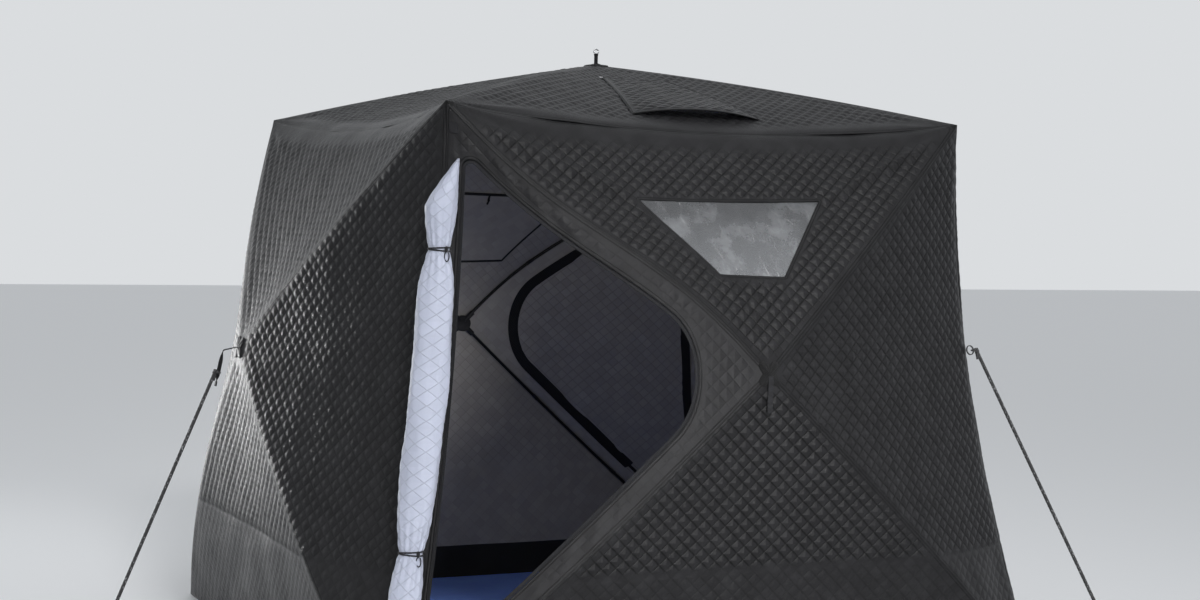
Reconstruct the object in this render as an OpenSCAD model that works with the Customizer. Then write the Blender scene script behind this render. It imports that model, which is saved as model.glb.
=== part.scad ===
// Pop-up ice fishing hut. Four walls and a roof of padded fabric are each pushed out
// by a hub with four bowed poles. X runs to the right along the front wall, Y runs
// from the front to the back, and Z is up from the ice.

/* [Shelter] */
// Half of the width between the top corners
top_half = 915; // [880:5:950]
// Half of the width between the base corners
base_half = 1150; // [1110:5:1190]
// Height of the top corners
eave_h = 1840; // [1800:5:1880]
// Height of the roof hub
apex_h = 2045; // [2010:5:2090]
// Distance of each wall hub from the middle
hub_out = 1285; // [1250:5:1320]
// Height of the wall hubs
hub_h = 1045; // [1000:5:1090]

/* [Tension] */
// Outward bow of the upper wall poles
upper_bow = 22; // [12:1:34]
// Outward bow of the lower wall poles
lower_bow = 42; // [26:1:56]
// Upward bow of the roof poles
roof_bow = 15; // [6:1:26]
// Sideways sweep of the pole above each door
door_sway = 26; // [0:1:34]
// Dip of each panel between its poles
panel_dip = 18; // [10:1:26]
// Drop of the eaves between the corners
eave_drop = 58; // [40:1:74]
// Inward pull of the eaves
eave_pull = 38; // [24:1:52]
// Diagonal pull of the corner edges
corner_pull = 85; // [60:1:105]

/* [Fabric] */
// Thickness of the padded wall and roof fabric
fabric_t = 6; // [4:0.5:9]
// Thickness of the floor mat
mat_t = 4; // [3:0.5:8]
// Gap between the floor mat and the walls
mat_gap = 3; // [1:0.5:10]

/* [Door] */
// Margin between the door opening and the upper pole
door_top_margin = 72; // [60:1:90]
// Margin between the door opening and the lower pole
door_low_margin = 62; // [52:1:80]
// Margin between the door opening and the corner edge
door_side_margin = 57; // [48:1:75]
// Radius of the door opening beside the hub
door_nose_r = 245; // [200:5:280]
// Radius of the door opening at its two other corners
door_corner_r = 34; // [24:1:50]
// Width of the zip tape
zip_w = 11; // [8:0.5:16]
// Thickness of the zip tape
zip_t = 3; // [2:0.25:4]
// Width of the band that backs the zip of a closed door
zip_band_w = 30; // [24:1:40]

/* [Door roll] */
// Width of the rolled door flap
roll_w = 100; // [80:1:112]
// Depth of the rolled door flap
roll_d = 62; // [48:1:70]
// Height of the top of the roll
roll_top_h = 1668; // [1640:1:1690]
// Height of the bottom of the roll
roll_bottom_h = 90; // [60:1:160]
// Height of the upper tie
upper_tie_h = 1400; // [1340:5:1450]
// Height of the lower tie
lower_tie_h = 523; // [450:5:600]
// Width of the ties round the roll
tie_w = 12; // [8:1:18]
// Thickness of the ties
tie_t = 3; // [2:0.5:5]

/* [Windows] */
// Height of the bottom edge of the windows
window_low_h = 1332; // [1300:2:1360]
// Height of the top edge of the windows
window_high_h = 1588; // [1560:2:1610]
// Half of the width of the windows along the bottom
window_low_half = 116; // [90:2:130]
// Half of the width of the windows along the top
window_high_half = 314; // [280:2:330]
// Thickness of the clear film
film_t = 1; // [0.5:0.25:2]
// How far the blackout cover reaches past its window
cover_lap = 34; // [20:1:46]
// Thickness of the blackout cover
cover_t = 2; // [1:0.25:4]

/* [Roof vent] */
// Distance from the middle to the sewn edge of the vent hood
vent_sewn_y = 307; // [280:1:340]
// Distance from the middle to the open lip of the vent hood
vent_lip_y = 796; // [760:1:820]
// Half of the width of the sewn edge
vent_sewn_half = 116; // [90:1:140]
// Half of the width of the lip
vent_lip_half = 229; // [200:1:250]
// Height of the arch of the lip
vent_arch = 34; // [20:1:50]
// Thickness of the hood
vent_t = 4; // [3:0.5:6]
// Margin between the seams of the hood and the vent opening under it
vent_rim = 34; // [24:1:44]

/* [Frame] */
// Radius of the poles
pole_r = 6; // [4.5:0.25:7]
// Radius of the hub sockets
socket_r = 10.5; // [9.5:0.25:12]
// Length of the hub sockets from the middle of the hub
socket_reach = 64; // [50:1:80]
// Radius of the hub disc
hub_r = 33; // [28:1:40]
// Thickness of the hub disc
hub_t = 21; // [20:0.5:26]
// Material of the hub disc over the pole ends
hub_wall = 3.5; // [3:0.25:5]
// Radius of the corner balls that take the pole ends
ball_r = 17; // [15:0.5:20]

/* [Guy ropes] */
// Radius of the guy ropes
rope_r = 6; // [4:0.5:7]
// Distance from the middle to the left ice anchor
left_anchor_x = 1740; // [1700:2:1800]
// Distance from the middle to the right ice anchor along X
right_anchor_x = 1428; // [1390:2:1480]
// Distance from the middle to the right ice anchor along Y
right_anchor_y = 1226; // [1200:2:1260]
// Height of the rope loop on the right corner edge
rope_loop_h = 1086; // [1040:2:1130]
// Height of the eye of each ice anchor
anchor_eye_h = 62; // [50:1:90]
// Radius of the eye of each ice anchor
anchor_eye_r = 20; // [18:0.5:24]
// Radius of the rod of each ice anchor
anchor_rod_r = 4; // [3:0.25:6]

/* [Hidden] */

// Clearance between pieces that seat on each other
seat = 0.3;
// Clearance between a sewn-on piece and the facets of fabric under it
sewn_gap = 0.8;
// Steps along each pole and across each panel
steps = 8;
// Points along each side of a door outline for every step of its panel
fine = 2;
// Rings of facets between a panel's border and its opening
hole_rings = 3;
// Sides of a pole
pole_sides = 8;
// Tips of the poles stop this far from the middle of a corner ball
tip_gap = 9.5;
// Poles start this far from the middle of a hub
root_gap = 16;

// Turns of the canonical front wall that place the other walls
FRONT = 0;
RIGHT = 90;
BACK = 180;
LEFT = 270;

fabric_colour = "#34353a";
lining_colour = "#c9d3e2";
trim_colour = "#141417";
film_colour = "#9aa0a6";
hub_colour = "#1d1d20";
pole_colour = "#26262b";
mat_colour = "#26356b";
metal_colour = "#8d9299";

function unit(v) = v / norm(v);
function mix(a, b, s) = a + s * (b - a);
function backwards(list) = [for (k = [len(list) - 1:-1:0]) list[k]];
function turned(p, a) = [p.x * cos(a) - p.y * sin(a), p.x * sin(a) + p.y * cos(a), p.z];

// The canonical front wall and the front of the roof: hubs, corners and the
// directions in which the fabric's thickness is measured at each corner
front_hub_at = [0, -hub_out, hub_h];
roof_hub_at = [0, 0, apex_h];
out_front = [0, -1, 0];
out_roof = [0, 0, 1];
function top_corner(side) = [side * top_half, -top_half, eave_h];
function base_corner(side) = [side * base_half, -base_half, 0];
function top_dir(side) = [side, -1, 1];
function base_dir(side) = [side, -1, 0];
eave_edge = [0, eave_pull, -eave_drop];
function corner_edge(side) = corner_pull * [-side, 1, 0] / sqrt(2);

// A pole runs from its hub to its corner, bowed out and swept sideways
function pole_line(hub, corner, out, bow, sway, t) =
    mix(hub, corner, t) + bow * 4 * t * (1 - t) * out
    + sway * sin(360 * t) * unit(cross(corner - hub, out));

// A facet of fabric between two poles, clockwise as seen from outside
HUB = 0;
C0 = 1;
C1 = 2;
OUT = 3;
BOW0 = 4;
BOW1 = 5;
EDGE = 6;
DIR0 = 7;
DIR1 = 8;
SWAY0 = 9;
SWAY1 = 10;

function top_facet(sway) = [
    front_hub_at, top_corner(-1), top_corner(1), out_front, upper_bow, upper_bow,
    eave_edge, top_dir(-1), top_dir(1), sway, 0
];
function right_facet() = [
    front_hub_at, top_corner(1), base_corner(1), out_front, upper_bow, lower_bow,
    corner_edge(1), top_dir(1), base_dir(1), 0, 0
];
function base_facet() = [
    front_hub_at, base_corner(1), base_corner(-1), out_front, lower_bow, lower_bow,
    [0, 0, 0], base_dir(1), base_dir(-1), 0, 0
];
function left_facet(sway) = [
    front_hub_at, base_corner(-1), top_corner(-1), out_front, lower_bow, upper_bow,
    corner_edge(-1), base_dir(-1), top_dir(-1), 0, sway
];
function roof_facet() = [
    roof_hub_at, top_corner(1), top_corner(-1), out_roof, roof_bow, roof_bow,
    eave_edge, top_dir(1), top_dir(-1), 0, 0
];

// Point of a facet's fabric. Its place is [share towards C0, share towards C1] of
// the way from the hub, and depth is measured inwards from the outer face
function skin(f, place, depth) =
    let (
        v = place.x + place.y,
        u = v > 0 ? place.y / v : 0.5,
        span = 4 * u * (1 - u),
        p0 = pole_line(f[HUB], f[C0], f[OUT], f[BOW0], f[SWAY0], v),
        p1 = pole_line(f[HUB], f[C1], f[OUT], f[BOW1], f[SWAY1], v),
        dip = panel_dip * span * 4 * v * (1 - v),
        inwards = -unit(mix(f[OUT], mix(f[DIR0], f[DIR1], u), v))
    )
    mix(p0, p1, u) - dip * f[OUT] + span * pow(v, 3) * f[EDGE] + depth * inwards;

// Place on a facet of a point drawn flat: [x, z] on a wall or [x, y] on the roof
function flat(f, p) = f[OUT] == out_roof ? [p.x, p.y] : [p.x, p.z];
function place_of(f, p) =
    let (
        h = flat(f, f[HUB]),
        a = flat(f, f[C0]) - h,
        b = flat(f, f[C1]) - h,
        d = p - h,
        area = a.x * b.y - a.y * b.x
    )
    [(d.x * b.y - d.y * b.x) / area, (a.x * d.y - a.y * d.x) / area];
function places(f, outline) = [for (p = outline) place_of(f, p)];

// Border of a facet: out along one pole, along the edge, and back to the hub
function border_place(k) =
    k <= steps ? [k / steps, 0]
    : k <= 2 * steps ? [2 - k / steps, k / steps - 1]
    : [0, 3 - k / steps];

// Two triangles for each stretch of a loop, joining it to the loop "shift" further on.
// The diagonal starts from the lower point, so that neighbouring panels agree on it
function wall_faces(loop, shift, points) = [
    for (k = [0:len(loop) - 1])
    let (a = loop[k], b = loop[(k + 1) % len(loop)])
    each points[a].z <= points[b].z
        ? [[b, a, b + shift], [a, a + shift, b + shift]]
        : [[b, a, a + shift], [b, a + shift, b + shift]]
];

// Solid with an outer and an inner skin on the same faces
module sheet_solid(outer, inner, faces, loops) {
    shift = len(outer);
    back_faces = [for (f = faces) [f[2] + shift, f[1] + shift, f[0] + shift]];
    rims = [for (loop = loops) each wall_faces(loop, shift, outer)];
    polyhedron(points = concat(outer, inner), faces = concat(faces, back_faces, rims),
        convexity = 6);
}

// Plain facet of fabric
module panel(f) {
    grid = concat([[0, 0]],
        [for (j = [1:steps], i = [0:steps]) j / steps * [1 - i / steps, i / steps]]);
    function at(j, i) = j == 0 ? 0 : 1 + (j - 1) * (steps + 1) + i;
    faces = [
        for (j = [0:steps - 1], i = [0:steps - 1])
        each concat([[at(j, i), at(j + 1, i), at(j + 1, i + 1)]],
            j == 0 ? [] : [[at(j, i), at(j + 1, i + 1), at(j, i + 1)]])
    ];
    border = concat([for (j = [0:steps]) at(j, 0)], [for (i = [1:steps]) at(steps, i)],
        [for (j = [steps - 1:-1:1]) at(j, steps)]);
    sheet_solid([for (p = grid) skin(f, p, 0)], [for (p = grid) skin(f, p, fabric_t)],
        faces, [border]);
}

// Facet of fabric with an opening. The outline has the same number of points for each
// step of the border, starts beside the hub and runs the same way round
module open_panel(f, outline) {
    count = len(outline);
    stops = 3 * steps;
    parts = count / stops;
    inner = places(f, outline);
    function layer(depth) = concat([for (k = [0:stops - 1]) skin(f, border_place(k), depth)],
        [for (r = [1:hole_rings], k = [0:count - 1])
            let (
                here = border_place(floor(k / parts)),
                next = border_place((floor(k / parts) + 1) % stops),
                edge = mix(here, next, (k % parts) / parts)
            )
            skin(f, mix(edge, inner[k], r / hole_rings), depth)]);
    function rim(k) = k % stops;
    function at(r, k) = stops + (r - 1) * count + k % count;
    first = [
        for (k = [0:stops - 1])
        let (a = k * parts, half = floor(parts / 2))
        each concat([[rim(k), rim(k + 1), at(1, a + half)]],
            [for (j = [0:1:half - 1]) [rim(k), at(1, a + j + 1), at(1, a + j)]],
            [for (j = [half:parts - 1]) [rim(k + 1), at(1, a + j + 1), at(1, a + j)]])
    ];
    rest = [
        for (r = [1:hole_rings - 1], k = [0:count - 1])
        each [[at(r, k), at(r, k + 1), at(r + 1, k + 1)],
            [at(r, k), at(r + 1, k + 1), at(r + 1, k)]]
    ];
    sheet_solid(layer(0), layer(fabric_t), concat(first, rest), [
        [for (k = [0:stops - 1]) k],
        backwards([for (k = [0:count - 1]) at(hole_rings, k)])
    ]);
}

// Patch of a facet inside an outline, between two depths
module patch(f, outline, depth, thick, rings) {
    count = len(outline);
    rim = places(f, outline);
    centre = mean(rim);
    grid = concat([centre],
        [for (r = [1:rings], k = [0:count - 1]) mix(centre, rim[k], r / rings)]);
    function at(r, k) = r == 0 ? 0 : 1 + (r - 1) * count + k % count;
    faces = [
        for (r = [0:rings - 1], k = [0:count - 1])
        each concat([[at(r, k), at(r + 1, k), at(r + 1, k + 1)]],
            r == 0 ? [] : [[at(r, k), at(r + 1, k + 1), at(r, k + 1)]])
    ];
    sheet_solid([for (p = grid) skin(f, p, depth)],
        [for (p = grid) skin(f, p, depth + thick)], faces,
        [[for (k = [0:count - 1]) at(rings, k)]]);
}
function mean(list, k = 0) =
    k == len(list) - 1 ? list[k] / len(list) : list[k] / len(list) + mean(list, k + 1);

// Closed band of fabric between an outer and an inner outline
module band(f, outer, inner, depth, thick) {
    count = len(outer);
    a = places(f, outer);
    b = places(f, inner);
    both = concat(a, b);
    faces = [
        for (k = [0:count - 1])
        let (n = (k + 1) % count)
        each [[k, n, count + n], [k, count + n, count + k]]
    ];
    sheet_solid([for (p = both) skin(f, p, depth)], [for (p = both) skin(f, p, depth + thick)],
        faces, [[for (k = [0:count - 1]) k], backwards([for (k = [0:count - 1]) count + k])]);
}

// Solid through a row of rings, each counter-clockwise as seen from the far end
module loft(rings, closed = false) {
    n = len(rings[0]);
    m = len(rings);
    points = [for (ring = rings) each ring];
    last = closed ? m - 1 : m - 2;
    sides = [
        for (i = [0:last], k = [0:n - 1])
        let (
            j = (i + 1) % m,
            next = (k + 1) % n,
            a = i * n + k,
            b = i * n + next,
            c = j * n + next,
            d = j * n + k
        )
        each [[a, d, c], [a, c, b]]
    ];
    caps = closed ? [] : [
        for (k = [1:n - 2])
        each [[0, k, k + 1], [(m - 1) * n, (m - 1) * n + k + 1, (m - 1) * n + k]]
    ];
    polyhedron(points = points, faces = concat(sides, caps), convexity = 6);
}
function ring_at(centre, along, up, ru, rs, sides) =
    let (
        t = unit(along),
        e1 = unit(up - (up * t) * t),
        e2 = cross(t, e1)
    )
    [for (k = [0:sides - 1])
        centre + ru * cos(360 * k / sides) * e1 + rs * sin(360 * k / sides) * e2];

// Puts a child that stands along +Z at a point, along a direction
module aim(at, along) {
    d = unit(along);
    translate(at) rotate([0, acos(d.z), atan2(d.y, d.x)]) children();
}

// Door opening drawn flat on the left facet of the front wall. Sides are named by
// what they follow: the lower pole, the corner edge and the upper pole
function line_offset(a, b, d) =
    let (t = unit(b - a), n = [t.y, -t.x])
    [a + d * n, b + d * n];
function meet(p, q) =
    let (
        r = p[1] - p[0],
        s = q[1] - q[0],
        w = q[0] - p[0],
        t = (w.x * s.y - w.y * s.x) / (r.x * s.y - r.y * s.x)
    )
    p[0] + t * r;
// Half of a fillet: from the tangent point on the side towards "to" as far as the
// middle of the arc, or the other way round
function half_fillet(corner, from, to, r, cuts, leaving) =
    let (
        a = unit(from - corner),
        b = unit(to - corner),
        half = acos(a * b) / 2,
        centre = corner + r / sin(half) * unit(a + b),
        foot = corner + r / tan(half) * (leaving ? b : a) - centre,
        middle = -r * unit(a + b),
        sweep = 90 - half,
        side = foot.x * middle.y - foot.y * middle.x > 0 ? 1 : -1,
        start = atan2(foot.y, foot.x)
    )
    [for (k = [0:cuts - 1])
        let (turn = start + side * sweep * (leaving ? 1 - k / cuts : (k + 1) / cuts) )
        centre + r * [cos(turn), sin(turn)]];
function door_outline(inset) =
    let (
        h = [0, hub_h],
        b = [-base_half, 0],
        t = [-top_half, eave_h],
        low = line_offset(h, b, door_low_margin + inset),
        side = line_offset(b, t, door_side_margin + inset),
        high = line_offset(t, h, door_top_margin + inset),
        p = [meet(high, low), meet(low, side), meet(side, high)],
        r = [door_nose_r - inset, door_corner_r - inset, door_corner_r - inset],
        cuts = [6, 3, 3],
        per_side = fine * steps
    )
    [for (s = [0:2])
        let (
            n = (s + 1) % 3,
            before = p[(s + 2) % 3],
            after = p[(s + 2) % 3],
            out = half_fillet(p[s], before, p[n], r[s], cuts[s], true),
            in = half_fillet(p[n], p[s], p[(n + 1) % 3], r[n], cuts[n], false),
            ua = unit(p[n] - p[s]),
            foot_a = p[s] + ua * fillet_reach(p[s], before, p[n], r[s]),
            foot_b = p[n] - ua * fillet_reach(p[n], p[s], p[(n + 1) % 3], r[n]),
            straight = per_side - cuts[s] - cuts[n]
        )
        each concat(out, [for (k = [0:straight]) mix(foot_a, foot_b, k / straight)],
            [for (k = [0:cuts[n] - 2]) in[k]])];
function fillet_reach(corner, from, to, r) =
    let (half = acos(unit(from - corner) * unit(to - corner)) / 2)
    r / tan(half);

// Opening with four straight sides, from the middle of its near edge. It is given by
// the place and the half width of its near and far edges, and the side that comes first
function four_sided(side, near, far, near_half, far_half) =
    let (
        foot = 2,
        start = [0, near],
        a = [side * near_half, near],
        b = [side * far_half, far],
        c = [-side * far_half, far],
        d = [-side * near_half, near]
    )
    concat([for (k = [0:foot - 1]) mix(start, a, k / foot)],
        [for (k = [0:steps - foot - 1]) mix(a, b, k / (steps - foot))],
        [for (k = [0:steps - 1]) mix(b, c, k / steps)],
        [for (k = [0:steps - foot - 1]) mix(c, d, k / (steps - foot))],
        [for (k = [0:foot - 1]) mix(d, start, k / foot)]);
// Window opening drawn flat on the top facet
function window_outline(grow) =
    four_sided(-1, window_low_h - grow, window_high_h + grow, window_low_half + grow,
        window_high_half + grow * 1.6);
// Vent opening drawn flat on the roof, inside the seams of the hood
function vent_half(y) =
    mix(vent_sewn_half, vent_lip_half, (y - vent_sewn_y) / (vent_lip_y - vent_sewn_y)) - vent_rim;
function vent_outline(grow) =
    let (near = vent_sewn_y + vent_rim, far = vent_lip_y - 2 * vent_rim)
    four_sided(1, grow - near, -far - grow, vent_half(near) + grow, vent_half(far) + grow);

// A pole is given by its corner, bow, sway, corner direction and the middle of the
// corner ball that takes its tip
ball_depth = 1.7 * (fabric_t + ball_r + seat);
base_ball_in = 1.55 * (fabric_t + ball_r + seat);
function top_ball(side) = top_corner(side) - ball_depth * unit(top_dir(side));
function base_ball(side) =
    base_corner(side) - base_ball_in * unit(base_dir(side)) + [0, 0, mat_t + seat + ball_r];
function wall_pole(k, sway) =
    k == 0 ? [top_corner(-1), upper_bow, sway, top_dir(-1), top_ball(-1)]
    : k == 1 ? [top_corner(1), upper_bow, 0, top_dir(1), top_ball(1)]
    : k == 2 ? [base_corner(1), lower_bow, 0, base_dir(1), base_ball(1)]
    : [base_corner(-1), lower_bow, 0, base_dir(-1), base_ball(-1)];
function roof_pole(k) =
    let (a = 90 * k)
    [turned(top_corner(-1), a), roof_bow, 0, turned(top_dir(-1), a), turned(top_ball(-1), a)];

// Middle line of a pole: it rests inside the crease, dives to the hub's sockets
// at its root and to the corner ball at its tip
pole_depth = fabric_t + 1.08 * pole_r + seat;
bend_power = 6;
wall_slope = (hub_out - top_half) / (eave_h - hub_h);
roof_slope = (apex_h - eave_h + eave_drop) / (top_half - eave_pull);
function slope_of(out) = out == out_roof ? roof_slope : wall_slope;
function disc_depth(out) = 1.15 * fabric_t + hub_r * slope_of(out) + 2 * seat;
function hub_depth(out) = disc_depth(out) + hub_wall + pole_r + seat;
function pole_at(hub, out, pole, t) =
    let (
        crease = pole_line(hub, pole[0], out, pole[1], pole[2], t),
        inwards = -unit(mix(out, pole[3], t)),
        root = (pole_depth - hub_depth(out)) * out,
        tip = pole[4] - pole[0] + pole_depth * unit(pole[3])
    )
    crease + pole_depth * inwards + pow(1 - t, bend_power) * root + pow(t, bend_power) * tip;
function pole_length(pole, hub) = norm(pole[0] - hub);
function pole_root(hub, pole) = root_gap / pole_length(pole, hub);
function pole_tip(hub, out, pole) =
    let (speed = norm(pole_at(hub, out, pole, 1) - pole_at(hub, out, pole, 0.99)) / 0.01)
    1 - tip_gap / speed;
function pole_stop(hub, out, pole, i) =
    pole_at(hub, out, pole, mix(pole_root(hub, pole), pole_tip(hub, out, pole), i / steps));

module pole(hub, out, pole) {
    stops = [for (i = [0:steps]) pole_stop(hub, out, pole, i)];
    loft([for (i = [0:steps])
        ring_at(stops[i], stops[min(i + 1, steps)] - stops[max(i - 1, 0)], out,
            pole_r, pole_r, pole_sides)]);
}

// Moulded hub: a disc with a stud against the fabric and a socket for each pole
module hub(at, out, poles) {
    stud_tip = 2;
    stud_root = 9;
    stud_depth = fabric_t + stud_tip * slope_of(out) + seat;
    difference() {
        union() {
            aim(at - (disc_depth(out) + hub_t) * out, out)
                cylinder(r = hub_r, h = hub_t, $fn = 40);
            aim(at - disc_depth(out) * out, out)
                cylinder(r1 = stud_root, r2 = stud_tip, h = disc_depth(out) - stud_depth,
                    $fn = 24);
            for (p = poles) {
                root = pole_stop(at, out, p, 0);
                along = pole_stop(at, out, p, 1) - root;
                aim(root, along)
                    cylinder(r = socket_r, h = socket_reach - root_gap, $fn = 24);
            }
        }
        for (p = poles) {
            root = pole_stop(at, out, p, 0);
            along = pole_stop(at, out, p, 1) - root;
            aim(root - seat * unit(along), along)
                cylinder(r = pole_r + seat, h = 2 * socket_reach, $fn = 24);
        }
    }
}

// Ball that holds the pole tips in a corner
module corner_ball(middle, ends) {
    difference() {
        translate(middle) rotate([0, 0, atan2(middle.y, middle.x)])
            sphere(r = ball_r, $fn = 32);
        for (e = ends)
            aim(e[0] + seat * unit(e[0] - e[1]), e[1] - e[0])
                cylinder(r = pole_r + seat, h = 3 * ball_r, $fn = 24);
    }
}
function last_two(hub, out, pole, a) = [
    turned(pole_stop(hub, out, pole, steps), a),
    turned(pole_stop(hub, out, pole, steps - 1), a)
];

// Panels of the four walls and the roof
module front_top_panel() {
    color(fabric_colour) open_panel(top_facet(door_sway), window_outline(0));
}
module front_right_panel() {
    color(fabric_colour) panel(right_facet());
}
module front_base_panel() {
    color(fabric_colour) panel(base_facet());
}
module front_left_panel() {
    color(fabric_colour) open_panel(left_facet(door_sway), door_outline(0));
}
module back_top_panel() {
    rotate([0, 0, BACK]) front_top_panel();
}
module back_left_panel() {
    rotate([0, 0, BACK]) front_right_panel();
}
module back_base_panel() {
    rotate([0, 0, BACK]) front_base_panel();
}
module back_right_panel() {
    rotate([0, 0, BACK]) front_left_panel();
}
module side_top_panel(a) {
    color(fabric_colour) rotate([0, 0, a]) panel(top_facet(0));
}
module side_right_panel(a) {
    color(fabric_colour) rotate([0, 0, a]) panel(right_facet());
}
module side_base_panel(a) {
    color(fabric_colour) rotate([0, 0, a]) panel(base_facet());
}
module side_left_panel(a) {
    color(fabric_colour) rotate([0, 0, a]) panel(left_facet(0));
}
module roof_panel(a) {
    color(fabric_colour) rotate([0, 0, a]) panel(roof_facet());
}
module roof_front_panel() {
    color(fabric_colour) open_panel(roof_facet(), vent_outline(0));
}

// Frame
module wall_hub(a, sway) {
    color(hub_colour) rotate([0, 0, a])
        hub(front_hub_at, out_front, [for (k = [0:3]) wall_pole(k, sway)]);
}
module roof_hub() {
    color(hub_colour) hub(roof_hub_at, out_roof, [for (k = [0:3]) roof_pole(k)]);
}
module wall_poles(a, sway) {
    color(pole_colour) rotate([0, 0, a])
        for (k = [0:3]) pole(front_hub_at, out_front, wall_pole(k, sway));
}
module roof_poles() {
    color(pole_colour) for (k = [0:3]) pole(roof_hub_at, out_roof, roof_pole(k));
}
// The corner at the left of the wall turned by a, and the wall that meets it there
function sway_of(a) = a == FRONT || a == BACK ? door_sway : 0;
module corner_sockets() {
    color(hub_colour) for (a = [FRONT, RIGHT, BACK, LEFT]) {
        corner_ball(turned(top_ball(-1), a), [
            last_two(front_hub_at, out_front, wall_pole(0, sway_of(a)), a),
            last_two(front_hub_at, out_front, wall_pole(1, 0), a - 90),
            last_two(roof_hub_at, out_roof, roof_pole(0), a)
        ]);
        corner_ball(turned(base_ball(-1), a), [
            last_two(front_hub_at, out_front, wall_pole(3, 0), a),
            last_two(front_hub_at, out_front, wall_pole(2, 0), a - 90)
        ]);
    }
}

// Windows
film_depth = 3;
module window_films() {
    color(film_colour) for (a = [FRONT, BACK]) rotate([0, 0, a])
        patch(top_facet(door_sway), window_outline(-seat), film_depth, film_t, 2);
}
// The blackout cover hangs inside the back window, with a strap and a toggle in the
// middle of its upper edge
cover_depth = fabric_t + 1.5;
toggle_strap = [9, 24, 2];
toggle_r = 4;
toggle_len = 22;
module back_window_cover() {
    f = top_facet(door_sway);
    top = window_high_h + cover_lap - 6;
    low = top - toggle_strap.y;
    outline = [[-toggle_strap.x / 2, top], [toggle_strap.x / 2, top],
        [toggle_strap.x / 2, low], [-toggle_strap.x / 2, low]];
    strap_depth = cover_depth + cover_t + sewn_gap;
    toggle_depth = strap_depth + toggle_strap.z + seat + toggle_r;
    start = skin(f, place_of(f, [0, low + 0.3 * toggle_len]), toggle_depth);
    end = skin(f, place_of(f, [0, low - 0.7 * toggle_len]), toggle_depth);
    color(fabric_colour) rotate([0, 0, BACK]) {
        patch(f, window_outline(cover_lap), cover_depth, cover_t, 3);
        patch(f, outline, strap_depth, toggle_strap.z, 1);
        aim(start, end - start) cylinder(r = toggle_r, h = toggle_len, $fn = 20);
    }
}

// Doors. Each opening is edged by its zip, and a band backs the zip of the closed door
zip_depth = (fabric_t - zip_t) / 2;
band_depth = fabric_t + 1;
band_t = 2;
module door_zips() {
    f = left_facet(door_sway);
    out = (zip_w - zip_band_w) / 2;
    color(trim_colour) {
        for (a = [FRONT, BACK]) rotate([0, 0, a])
            band(f, door_outline(seat), door_outline(seat + zip_w), zip_depth, zip_t);
        rotate([0, 0, BACK])
            band(f, door_outline(out), door_outline(out + zip_band_w), band_depth, band_t);
    }
}
module back_door_flap() {
    color(fabric_colour) rotate([0, 0, BACK])
        patch(left_facet(door_sway), door_outline(zip_w + 2 * seat), 0, fabric_t, 4);
}

// The front door flap is rolled up along the corner edge and held by two ties
roll_sides = 12;
roll_lift = 4.2;
roll_neck = 108;
// Point at a height of the straight stretches between the border points of an edge
function edge_point(f, h) =
    let (
        u = h / eave_h * steps,
        k = min(floor(u), steps - 1),
        flip = f[C0].z > f[C1].z,
        low = flip ? [k / steps, 1 - k / steps] : [1 - k / steps, k / steps],
        high = flip ? [(k + 1) / steps, 1 - (k + 1) / steps]
            : [1 - (k + 1) / steps, (k + 1) / steps]
    )
    mix(skin(f, low, 0), skin(f, high, 0), u - k);
// Level direction from a corner edge into the wall beside it
function level_along(h) =
    let (
        f = left_facet(0),
        v = 0.93,
        u = max(0, (h - (1 - v) * hub_h) / (v * eave_h)),
        d = skin(f, [v * (1 - u), v * u], 0) - edge_point(f, h)
    )
    unit([d.x, d.y, 0]);
function pinch(h, tie) = exp(-pow((h - tie) / 70, 2));
function roll_squeeze(h) =
    1 - 0.34 * pinch(h, upper_tie_h) - 0.28 * pinch(h, lower_tie_h)
    - 0.7 * pow(max(0, (h - roll_top_h + roll_neck) / roll_neck), 2)
    + 0.14 * sin(180 * (h - lower_tie_h) / (upper_tie_h - lower_tie_h));
function roll_ring(h, grow) =
    let (
        s = roll_squeeze(h),
        a = level_along(h),
        out = [a.y, -a.x, 0],
        half = roll_d / 2 * mix(1, s, 0.5)
    )
    ring_at(edge_point(left_facet(0), h) + (half + roll_lift) * out, [0, 0, -1], out,
        half + grow, roll_w / 2 * s + grow, roll_sides);
function spread(a, b, n) = [for (i = [0:n - 1]) mix(a, b, i / n)];
roll_stops = concat(
    spread(roll_top_h, upper_tie_h + tie_w / 2, 5),
    spread(upper_tie_h + tie_w / 2, upper_tie_h - tie_w / 2, 1),
    spread(upper_tie_h - tie_w / 2, lower_tie_h + tie_w / 2, 10),
    spread(lower_tie_h + tie_w / 2, lower_tie_h - tie_w / 2, 1),
    spread(lower_tie_h - tie_w / 2, roll_bottom_h, 5),
    [roll_bottom_h]
);
module front_door_roll() {
    color(lining_colour) loft([for (h = roll_stops) roll_ring(h, 0)]);
}
module roll_ties() {
    color(trim_colour) for (h = [upper_tie_h, lower_tie_h]) {
        inner = [for (z = [h + tie_w / 2, h - tie_w / 2]) roll_ring(z, seat)];
        outer = [for (z = [h + tie_w / 2, h - tie_w / 2]) roll_ring(z, seat + tie_t)];
        loft([for (k = [0:roll_sides - 1]) [inner[0][k], inner[1][k], outer[1][k], outer[0][k]]],
            closed = true);
    }
}

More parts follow.
